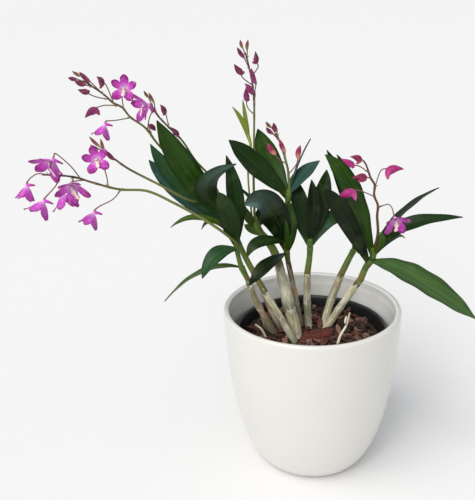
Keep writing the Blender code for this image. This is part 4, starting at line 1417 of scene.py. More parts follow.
@dataclass
class Shoot:
    """The green top of a cane with its leaves."""

    name: str
    cane: str
    line: tuple[Point, ...]
    radii: tuple[float, ...]
    leaves: tuple[Leaf, ...]
    sides: int = 22
    collar: float = 7.0
    green: Colour = screen(92, 116, 40)
    brown: Colour = screen(112, 102, 52)

    def path(self, canes: dict[str, Cane], count: int = 8) -> list[Vector]:
        """The stem's middle line.

        Args:
            canes: the canes by name.
            count: how many points to return.

        Returns:
            The points, from the cane's top to the shoot's top.
        """
        foot, way = canes[self.cane].coarse_top()
        return smooth_path((foot + way * TOUCH_GAP,) + self.line, count)

    def stem(self, path: list[Vector]) -> Draft:
        """The stem with a clasping collar under each leaf.

        Args:
            path: its middle line.

        Returns:
            The piece in the making.
        """
        draft = Draft()
        table = spread(self.radii)
        fine = smooth_path(path, 56)
        root = [fine[0] - (fine[1] - fine[0]).normalized() * 1.2]
        paint = shading(self.brown, self.green, 0.02, 0.35)
        draft.tube(root + fine, girth(table), self.sides, paint, dome=0.25)
        spine = Spine(fine)
        for leaf in self.leaves:
            low = max(0.0, leaf.start - self.collar / spine.length)
            stretch = [point_along(fine, low + (leaf.start - low) * i / 9.0) for i in range(10)]
            size = flowing(table, leaf.start)
            shade = mixed(leaf.tone.value, self.green, 0.6)
            draft.tube(stretch, lambda share, angle: size + 0.15 + 0.45 * share**2, self.sides,
                       lambda share, angle: (shade, 0.0), dome=0.3)
        return draft

    def build(self, canes: dict[str, Cane]) -> None:
        """Makes the stem and each leaf and dresses them.

        Args:
            canes: the canes by name.
        """
        path = self.path(canes)
        self.stem(path).piece(self.name + "_stem", self.name, "leaf", STALK_GREEN)
        for number, leaf in enumerate(self.leaves, 1):
            draft = Draft()
            leaf.shape(draft, point_along(path, leaf.start), 7.3 * number + 1.7 * len(self.leaves))
            draft.piece(f"{self.name}_leaf_{number}", self.name, "leaf", WAXY_LEAF)


SHOOTS = (
    Shoot("shoot_a", "cane_a", ((-69, -8, 216), (-72, -11, 232), (-73, -12, 243)),
          (2.6, 2.7, 2.4, 2.2, 2.1), (
        Leaf(0.88, (-72, -2, 279), (-79, 4, 320), 17, (0.15, -0.9, 0.4), 14, LeafTone.DEEP),
        Leaf(0.84, (-79, -20, 271), (-87, -24, 293), 20, (-0.1, -0.95, 0.2), 14, LeafTone.DEEP),
        Leaf(0.78, (-91, -26, 233), (-105, -34, 214), 18, (-0.3, -0.6, 0.75), 14, LeafTone.MISTY),
        Leaf(0.3, (-106, -4, 209), (-146, 4, 175), 12, (-0.3, -0.1, 0.9), 10, LeafTone.LEAFY),
    )),
    Shoot("shoot_b", "cane_b", ((-62, 2, 215), (-74, 9, 241), (-85, 14, 268), (-86, 15, 272)),
          (3.0, 2.9, 2.8, 3.1, 3.4), (
        Leaf(0.82, (-117, 3, 307), (-139, -8, 356), 27, (0.35, -0.85, 0.45), 12, LeafTone.GRASS),
        Leaf(0.76, (-124, 16, 292), (-149, 14, 331), 18, (-0.2, -0.8, 0.5), 10, LeafTone.MISTY),
        Leaf(0.7, (-124, 27, 280), (-154, 32, 312), 20, (-0.35, -0.6, 0.7), 12, LeafTone.TEAL),
        Leaf(0.86, (-98, -4, 292), (-70, -6, 314), 22, (-0.2, 0.85, 0.5), 16, LeafTone.DARK, painted_sheen=0.6),
        Leaf(0.65, (-106, 4, 261), (-135, 8, 251), 9, (-0.2, -0.4, 0.85), 12, LeafTone.LEAFY),
        Leaf(0.58, (-92, 12, 255), (-106, 16, 245), 8, (-0.4, -0.5, 0.6), 12, LeafTone.LEAFY),
    )),
    Shoot("shoot_c", "cane_c", ((-38, 8, 227), (-51, 14, 244), (-55, 18, 255)), (4.2, 4.0, 3.7, 3.5, 3.6), (
        Leaf(0.8, (-60, 11, 257), (-63, 8, 270), 9, (0.0, -0.8, 0.5), 14, LeafTone.LEAFY),
        Leaf(0.6, (-57, 14, 244), (-64, 18, 248), 8, (-0.4, -0.6, 0.6), 14, LeafTone.LEAFY),
        Leaf(0.75, (-50, 24, 251), (-49, 30, 262), 9, (0.2, -0.8, 0.5), 14, LeafTone.DEEP),
    )),
    Shoot("shoot_d", "cane_d", ((-24, 7, 229), (-24, 1, 259), (-22, -3, 287)),
          (2.6, 2.5, 2.4, 2.4, 2.4, 2.3), (
        Leaf(0.16, (-40.5, -12, 272), (-64, -24, 280), 30, (-0.35, -0.75, 0.55), 14, LeafTone.DARK,
             painted_sheen=0.6),
        Leaf(0.5, (-47, 4, 268), (-69, 6, 290), 9, (-0.4, -0.1, 0.9), 12, LeafTone.MISTY),
        Leaf(0.13, (-45, -23, 220), (-62, -31, 204), 15, (-0.4, -0.7, 0.5), 14, LeafTone.DARK),
        Leaf(0.93, (-54, 0, 312), (-76, -6, 336), 22, (0.3, -0.8, 0.5), 12, LeafTone.DEEP),
        Leaf(0.3, (-51, -10, 239), (-62, -16, 227), 12, (-0.3, -0.8, 0.5), 12, LeafTone.DEEP),
        Leaf(0.88, (-39, 14, 312), (-49, 18, 341), 22, (0.1, -0.9, 0.4), 12, LeafTone.GRASS),
        Leaf(0.95, (-8, 12, 297), (10, 26, 307), 17, (-0.25, -0.5, 0.85), 10, LeafTone.TEAL),
        Leaf(0.9, (-12, 16, 305), (2, 34, 327), 7, (-0.75, 0.1, 0.6), 8, LeafTone.DEEP),
        Leaf(0.12, (-21, -6, 251), (-22, -6, 277), 13, (0.2, -0.9, 0.3), 12, LeafTone.GRASS),
    )),
    Shoot("shoot_e", "cane_e", ((-1, 8, 218), (-1, 6, 235)), (3.2, 3.0, 2.7, 2.4), (
        Leaf(0.95, (1, 0, 266), (0, 6, 294), 14, (0.1, -0.9, 0.4), 14, LeafTone.DARK),
        Leaf(0.85, (10, 16, 267), (17, 26, 298), 19, (0.1, -0.9, 0.4), 12, LeafTone.DEEP),
        Leaf(0.75, (19, 14, 252), (36, 22, 239), 16, (0.3, -0.6, 0.75), 12, LeafTone.MISTY),
        Leaf(0.7, (-10, 20, 252), (-19, 28, 264), 13, (-0.3, -0.6, 0.7), 12, LeafTone.MISTY),
        Leaf(0.9, (-10, 6, 268), (-13, 18, 290), 17, (-0.2, -0.9, 0.35), 14, LeafTone.DEEP),
    )),
    Shoot("shoot_f", "cane_f", ((46, 40, 205), (57, 43, 223)), (3.4, 3.2, 2.8, 2.4), (
        Leaf(0.92, (45, 30, 272), (26, 24, 313), 13, (-0.2, -0.9, 0.4), 12, LeafTone.DEEP),
        Leaf(0.84, (39, 50, 270), (20, 50, 312), 13, (-0.2, -0.9, 0.4), 12, LeafTone.DEEP),
        Leaf(0.6, (49, 33, 216), (50, 27, 210), 8, (-0.1, -0.8, 0.5), 12, LeafTone.LEAFY),
    )),
    Shoot("shoot_g", "cane_g", ((53, 0, 206), (59, 0, 215), (59, -1, 226)), (3.3, 3.2, 3.0, 2.8, 2.5), (
        Leaf(0.7, (35, -8, 284), (12, 2, 318), 24, (0.35, -0.75, 0.6), 12, LeafTone.GRASS),
        Leaf(0.5, (27, -22, 266), (6, -28, 294), 18, (-0.2, -0.85, 0.4), 12, LeafTone.DARK),
        Leaf(0.8, (64, -12, 236), (61, -16, 247), 8, (0.1, -0.9, 0.3), 12, LeafTone.LEAFY),
        Leaf(0.92, (88, 12, 256), (125, 20, 278), 13, (-0.5, -0.05, 0.85), 8, LeafTone.SHADY),
        Leaf(0.85, (88, 1, 246), (142, -4, 255), 18, (-0.2, -0.45, 0.87), 14, LeafTone.DEEP),
        Leaf(0.7, (82, 20, 228), (98, 32, 223), 8, (-0.2, -0.5, 0.8), 12, LeafTone.MISTY),
        Leaf(0.6, (96, -22, 202), (153, -32, 162), 29, (0.3, -0.55, 0.78), 12, LeafTone.FRESH, Outline.FULL),
    )),
)


@dataclass
class YoungShoot:
    """A thin pale stem with two narrow leaves, standing on top of cane c."""

    seat: Point = (-1.6, 1.6, 0.0)
    line: tuple[Point, ...] = ((-59, 23, 295), (-56, 22, 324), (-58, 22, 336))
    radii: tuple[float, ...] = (1.0, 0.9, 0.9, 1.3, 1.4)
    leaves: tuple[Leaf, ...] = (
        Leaf(0.86, (-62, 20, 346), (-72, 18, 362), 5, (-0.3, -0.8, 0.4), 12, LeafTone.YOUNG,
             stations=22, rib=0.8),
        Leaf(0.86, (-60, 24, 350), (-62, 25, 367), 4.5, (0.4, -0.8, 0.3), 12, LeafTone.YOUNG,
             stations=22, rib=0.8),
    )
    low_colour: Colour = screen(128, 112, 66)
    top_colour: Colour = screen(160, 172, 70)

    def build(self, under: list[Vector]) -> None:
        """Makes the stem and its leaves.

        Args:
            under: the path of the shoot that it stands on.
        """
        start, way = seat_on(under, self.seat)
        path = smooth_path((start,) + self.line, 8)
        fine = [path[0] - way * 2.0] + smooth_path((start,) + self.line, 50)
        table = spread(self.radii)
        draft = Draft()

        def radius(share: float, angle: float) -> float:
            """Radius with a small swelling at each of three joints."""
            swell = sum(peak(share, node, 0.012) for node in (0.28, 0.55, 0.78))
            return flowing(table, share) + 0.22 * swell

        draft.tube(fine, radius, 14, shading(self.low_colour, self.top_colour, 0.1, 0.7), dome=0.6)
        draft.piece("young_shoot_stem", "young_shoot", "young_leaf", YOUNG_STEM)
        for number, leaf in enumerate(self.leaves, 1):
            blade = Draft()
            leaf.shape(blade, path[6], 5.1 * number)
            blade.piece(f"young_shoot_leaf_{number}", "young_shoot", "young_leaf", SOFT_LEAF)


def seat_on(path: list[Vector], aside: Point) -> tuple[Vector, Vector]:
    """A place on the flat top of a shoot.

    Args:
        path: the shoot's middle line.
        aside: how far from the middle.

    Returns:
        The point a touch gap above the top, and the way that the top faces.
    """
    way = (path[-1] - path[-2]).normalized()
    offset = Vector(aside)
    return path[-1] + offset - way * offset.dot(way) + way * TOUCH_GAP, way


# Flowers


@dataclass
class Bloom:
    """An open flower: five tepals round a hub with a chin, and a lip under a column."""

    name: str
    middle: Point
    face: Point
    top: Point
    closing: float
    size: float
    hub_back: float = 4.3
    lip_closing: float = 33.0
    tepal_stations: int = 24
    tepals: tuple[tuple[float, ...], ...] = (
        (90.0, 15.3, 7.2, 37.0, -0.414),
        (28.0, 14.6, 6.4, 33.0, -0.067),
        (152.0, 14.6, 6.4, 33.0, 0.011),
        (-48.0, 16.0, 7.6, 38.0, -0.488),
        (-132.0, 16.0, 7.6, 38.0, -0.254),
    )
    heart: Colour = screen(244, 198, 242)
    body: Colour = screen(218, 84, 210)
    tip: Colour = screen(136, 0, 112)
    back: Colour = screen(214, 96, 210)
    ovary: Colour = screen(150, 96, 110)
    lip_white: Colour = screen(240, 228, 226)
    lip_heart: Colour = screen(222, 216, 138)
    lip_edge: Colour = screen(178, 44, 158)
    wine: Colour = screen(110, 16, 60)

    def axes(self) -> tuple[Vector, Vector, Vector, Vector]:
        """Middle, side, top and face directions."""
        face = Vector(self.face).normalized()
        top = Vector(self.top)
        top = (top - face * top.dot(face)).normalized()
        return Vector(self.middle), top.cross(face), top, face

    def placed(self, x: float, y: float, z: float) -> Vector:
        """A point given in the flower's own directions."""
        middle, side, top, face = self.axes()
        return middle + side * x + top * y + face * z

    def path(self, rows: Sequence[Point], count: int) -> list[Vector]:
        """A smooth path through points given in the flower's own directions."""
        return smooth_path([self.placed(*row) for row in rows], count)

    def stalk_end(self) -> Vector:
        """The point behind the flower where its stalk ends."""
        return self.placed(0.0, 0.0, -self.hub_back - TOUCH_GAP)

    def tepal(self, draft: Draft, turn: float, length: float, width: float, lift: float,
              level: float) -> None:
        """Adds one tepal that leaves the hub flat, widens past its middle and bends back at its tip.

        Args:
            draft: the piece that it joins.
            turn: its turn round the hub, in degrees.
            length: its length.
            width: its full width.
            lift: how far it leans out of the flat in an open flower, in degrees.
            level: its height on the hub.
        """
        angle = math.radians(turn)
        lean = math.radians(lift + self.closing)
        width *= self.size
        span = self.size * length * math.cos(lean)
        rise = self.size * length * math.sin(lean)
        out = Vector((math.cos(angle), math.sin(angle)))
        reach = ((0.0, 0.6), (0.3, 0.3 * span), (0.68, 0.68 * span), (0.9, 0.9 * span), (1.0, 0.98 * span))
        height = ((0.0, 0.0), (0.3, 0.2 * rise), (0.68, 0.68 * rise), (0.9, 0.88 * rise), (1.0, 0.93 * rise))
        halves = ((0.0, 0.2), (0.14, 0.28), (0.32, 0.42), (0.5, 0.51), (0.68, 0.53), (0.82, 0.42),
                  (0.92, 0.25), (0.975, 0.12), (1.0, 0.03))
        path = []
        for share in (i / (self.tepal_stations - 1.0) for i in range(self.tepal_stations)):
            spot = out * flowing(reach, share)
            path.append(self.placed(spot.x, spot.y, level + flowing(height, share)))

        def cup(share: float, across: float) -> float:
            """Margins lifted near the hub and rolled back near the tip."""
            curl = 0.5 * width * across * across * (0.3 - 0.5 * share)
            return curl + 0.1 * math.sin(9.0 * share + turn) * across

        def paint(share: float, across: float, under: bool) -> Colour:
            """Pale heart, lilac body and deep tip and margins; the back is duller."""
            tint = mixed(self.heart, self.body, eased(share, 0.12, 0.5))
            tint = mixed(tint, self.tip, min(1.0, 0.9 * eased(share, 0.38, 0.86) + 0.35 * across**4))
            return mixed(tint, self.back, 0.35) if under else tint

        draft.blade(path, self.axes()[3], lambda share: width * flowing(halves, share), cup,
                    lambda share, across: 0.3 + 0.35 * (1.0 - abs(across)), paint, turn)

    def flower(self) -> Draft:
        """The hub, the chin and the tepals."""
        draft = Draft()
        back = [self.placed(0.0, 0.0, -self.hub_back + 4.9 * i / 15.0) for i in range(16)]
        hub = ((0.0, 0.62), (0.3, 0.95), (0.55, 1.45), (0.85, 1.6), (1.0, 1.4))
        draft.tube(back, lambda share, angle: flowing(hub, share) * (1.0 + 0.06 * math.cos(3.0 * angle)), 18,
                   shading(self.ovary, self.heart, 0.3, 0.75), dome=0.3)
        chin = self.path(((0.0, 0.4, -0.9), (0.0, -3.4 * self.size, -1.8), (0.0, -6.6 * self.size, -2.0)), 14)
        shape = ((0.0, 1.5), (0.35, 1.45), (0.7, 1.0), (1.0, 0.62))
        draft.tube(chin, girth(shape), 16, shading(self.body, self.tip, 0.3, 1.0), dome=0.9)
        for shape_of_tepal in self.tepals:
            self.tepal(draft, *shape_of_tepal)
        return draft

    def lip(self) -> Draft:
        """The three-lobed lip with its ridge, and the column with its cap."""
        draft = Draft()
        size = self.size
        fall = size * (1.0 - self.closing / self.lip_closing)
        scoop = self.path(((0.0, 0.0, 1.5), (0.0, -1.1 * fall, 3.4 * size), (0.0, -2.7 * fall, 5.7 * size),
                           (0.0, -4.8 * fall, 7.6 * size), (0.0, -6.6 * fall, 8.3 * size)), 26)
        halves = ((0.0, 0.7), (0.16, 1.3), (0.32, 2.3), (0.46, 2.55), (0.58, 1.75), (0.68, 1.45), (0.8, 2.05),
                  (0.92, 1.75), (1.0, 0.5))

        def curl(share: float, across: float) -> float:
            """Side lobes that stand up beside the column, and a flat middle lobe."""
            upright = 2.3 * peak(share, 0.38, 0.2)
            wave = 0.25 * math.sin(22.0 * share + 2.0 * across) * eased(share, 0.6, 0.85)
            ridge = 0.35 * peak(across, 0.0, 0.16) * (1.0 - eased(share, 0.55, 0.75))
            return upright * across * across + wave * across * across + ridge

        def paint(share: float, across: float, under: bool) -> Colour:
            """White, yellow-green along the ridge, purple at the margins."""
            tint = mixed(self.lip_white, self.lip_heart, 0.8 * peak(across, 0.0, 0.3))
            tint = mixed(tint, self.lip_edge, 0.9 * eased(abs(across), 0.45, 0.9))
            return mixed(tint, self.lip_edge, 0.4) if under else tint

        draft.blade(scoop, self.axes()[3], lambda share: size * flowing(halves, share), curl,
                    lambda share, across: 0.3 + 0.3 * (1.0 - abs(across)), paint, float(len(self.name)))
        column = self.path(((0.0, 0.1, 0.6), (0.0, 0.7, 2.6), (0.0, 0.4, 4.8)), 14)
        post = ((0.0, 1.05), (0.5, 0.9), (0.8, 0.95), (1.0, 0.85))
        draft.tube(column, girth(post), 14, shading(self.wine, self.lip_white, 0.12, 0.7), dome=0.9)
        return draft

    def build(self) -> None:
        """Makes the flower and its lip and dresses them."""
        self.flower().piece(f"bloom_{self.name}_tepals", "bloom_" + self.name, "petal", PETAL_SKIN)
        self.lip().piece(f"lip_{self.name}_lobes", "lip_" + self.name, "lip", LIP_SKIN)


BLOOMS = {bloom.name: bloom for bloom in (
    Bloom("1", (-195.5, -46, 284), (-0.45, -0.25, -0.85), (-0.85, -0.2, 0.45), 20.0, 1.06),
    Bloom("2", (-187, -48, 331), (0.05, -0.95, 0.25), (-0.25, 0.25, 0.93), 0.0, 1.0),
    Bloom("3", (-209, -54, 312), (0.1, -0.8, -0.6), (-0.5, -0.4, 0.7), 2.0, 1.26),
    Bloom("4", (-221, -42, 301), (0.2, -0.15, -0.95), (-0.9, -0.3, -0.2), 12.0, 1.24),
    Bloom("5", (-234.5, -57, 299), (-0.45, -0.35, -0.8), (-0.88, -0.1, 0.45), 14.0, 1.2),
    Bloom("6", (-224, -52, 333), (-0.35, -0.65, -0.66), (-0.8, -0.1, 0.55), 0.0, 1.34),
    Bloom("7", (-250, -46, 310), (-0.2, -0.2, -0.95), (-0.95, 0.0, 0.2), 20.0, 1.0),
    Bloom("8", (-165, -8, 384), (0.0, -0.97, 0.2), (0.12, 0.2, 0.97), 0.0, 1.0),
    Bloom("9", (-145, -17, 371), (-0.8, -0.55, -0.2), (-0.25, 0.1, 0.95), 4.0, 1.14),
    Bloom("10", (-186, -6, 353), (-0.35, -0.25, -0.9), (-0.9, -0.2, 0.4), 18.0, 1.0),
    Bloom("11", (73, -24, 262), (0.1, -0.8, -0.55), (0.1, -0.5, 0.8), 0.0, 1.08),
)}


# Spikes


class BudTone(Enum):
    """Foot and tip colours of a bud."""

    PINK = (screen(220, 84, 164), screen(158, 22, 104))
    WINE = (screen(184, 62, 104), screen(116, 14, 56))
    PEACH = (screen(222, 142, 120), screen(138, 20, 66))
    MAUVE = (screen(160, 62, 122), screen(112, 20, 80))
    PLUM = (screen(142, 66, 84), screen(92, 18, 54))
    OLIVE = (screen(146, 134, 76), screen(116, 64, 58))


@dataclass
class Bud:
    """A closed flower: a pointed pod, with a short heel beside the stalk where it has one."""

    tip: Point
    radius: float
    tone: BudTone
    heel: Point | None = None
    sides: int = 18
    stations: int = 26

    def shape(self, draft: Draft, foot: Vector) -> None:
        """Adds the bud on the end of its stalk.

        Args:
            draft: the piece that it joins.
            foot: the stalk's end.
        """
        tip = between(foot, Vector(self.tip), 0.97)
        if self.heel is None:
            bow = (tip - foot).cross(Vector((0.2, 1.0, 0.1))).normalized() * (0.35 * self.radius)
            marks = [between(foot, tip, -0.05), between(foot, tip, 0.4) + bow, tip]
            path = smooth_path(marks, self.stations)
            shape = ((0.0, 0.42), (0.2, 0.9), (0.38, 1.08), (0.62, 1.02), (0.82, 0.66), (1.0, 0.14))
        else:
            heel = Vector(self.heel)
            path = arch_path(heel, between(foot, (heel + tip) * 0.5, 0.3), tip, self.stations)
            shape = ((0.0, 0.3), (0.1, 0.6), (0.28, 1.12), (0.5, 1.38), (0.7, 1.22), (0.88, 0.66),
                     (1.0, 0.16))
        foot_tint, tip_tint = self.tone.value

        def seam(angle: float, width: float) -> float:
            """How near an angle is to one of the three seams where the outer tepals meet."""
            return peak(math.cos(1.5 * angle + 0.4), 0.0, width)

        draft.tube(path, lambda share, angle: self.radius * flowing(shape, share) * (
            1.0 - 0.08 * (seam(angle, 0.18) * math.sin(math.pi * share))
        ), self.sides, lambda share, angle: (
            mixed(mixed(foot_tint, tip_tint, eased(share, 0.05, 0.6)), tip_tint, 0.5 * seam(angle, 0.2)), 0.0
        ), dome=0.9)


@dataclass
class Stalk:
    """A thin side stalk that ends in a bud or in the flower of that name."""

    start: float
    points: tuple[Point, ...]
    end: Bud | str
    radius: float = 0.55


@dataclass
class Spike:
    """A flower stalk with its side stalks, bracts and buds."""

    name: str
    shoot: str
    aside: Point
    line: tuple[Point, ...]
    radii: tuple[float, ...]
    side_stalks: tuple[Stalk, ...]
    bract_size: float = 3.2
    low_colour: Colour = screen(108, 116, 56)
    high_colour: Colour = screen(84, 62, 48)
    stalk_colour: Colour = screen(126, 84, 86)
    bract_colour: Colour = screen(176, 150, 112)

    def main_stalk(self, draft: Draft, under: list[Vector]) -> list[Vector]:
        """Adds the main stalk and returns its middle line.

        Args:
            draft: the piece that it joins.
            under: the path of the shoot that it stands on.

        Returns:
            The middle line above the shoot.
        """
        start, way = seat_on(under, self.aside)
        marks = (start,) + self.line
        path = smooth_path(marks, 8 * len(marks))
        table = spread(self.radii)
        joints = [stalk.start for stalk in self.side_stalks]

        def radius(share: float, angle: float) -> float:
            """Radius with a small swelling under each side stalk."""
            swell = max(peak(share, joint, 0.012) for joint in joints)
            return flowing(table, share) * (1.0 + 0.03 * math.cos(5.0 * angle)) + 0.22 * swell

        paint = shading(self.low_colour, self.high_colour, 0.5, 0.95)
        draft.tube([path[0] - way * 2.4] + path, radius, 14, paint, dome=0.8)
        return path

    def bract(self, draft: Draft, foot: Vector, along: Vector, out: Vector) -> None:
        """Adds one small dry bract.

        Args:
            draft: the piece that it joins.
            foot: where it leaves the stalk.
            along: the stalk's direction there.
            out: the side that it stands on.
        """
        size = self.bract_size
        tip = foot + along * (0.85 * size) + out * (0.75 * size)
        path = arch_path(foot - along * 0.3, foot + along * (0.45 * size) + out * (0.22 * size), tip, 10)
        halves = ((0.0, 0.3), (0.3, 0.36), (0.7, 0.22), (1.0, 0.03))
        draft.blade(path, -out, lambda share: size * flowing(halves, share),
                    lambda share, across: 0.3 * size * across * across * (1.0 - share),
                    lambda share, across: 0.22,
                    lambda share, across, under: mixed(self.bract_colour, self.high_colour, 0.4 * share),
                    size)

    def build(self, under: list[Vector]) -> None:
        """Makes the stalks, bracts and buds and dresses them.

        Args:
            under: the path of the shoot that it stands on.
        """
        stalks, bracts, buds = Draft(), Draft(), Draft()
        path = self.main_stalk(stalks, under)
        flare = ((0.0, 1.35), (0.1, 1.0), (0.85, 1.0), (1.0, 1.25))
        paint = shading(self.low_colour, self.stalk_colour, 0.02, 0.35)
        for stalk in self.side_stalks:
            start = point_along(path, stalk.start)
            ahead = (point_along(path, min(1.0, stalk.start + 0.02)) - start).normalized()
            marks = [start] + [Vector(point) for point in stalk.points]
            if isinstance(stalk.end, Bud):
                stalk.end.shape(buds, marks[-1])
            else:
                bloom = BLOOMS[stalk.end]
                marks.append(bloom.stalk_end() + bloom.axes()[3] * 0.6)
            stalks.tube(smooth_path(marks, 30), lambda share, angle: stalk.radius * flowing(flare, share), 12,
                        paint, dome=0.8)
            out = marks[1] - start
            out = (out - ahead * out.dot(ahead)).normalized()
            self.bract(bracts, start + out * flowing(spread(self.radii), stalk.start), ahead, out)
        stalks.piece(self.name + "_stalks", self.name, "stalk", STALK_SKIN)
        bracts.piece(self.name + "_bracts", self.name, "stalk", DRY_BRACT)
        if buds.points:
            buds.piece(self.name + "_buds", self.name, "stalk", BUD_SKIN)


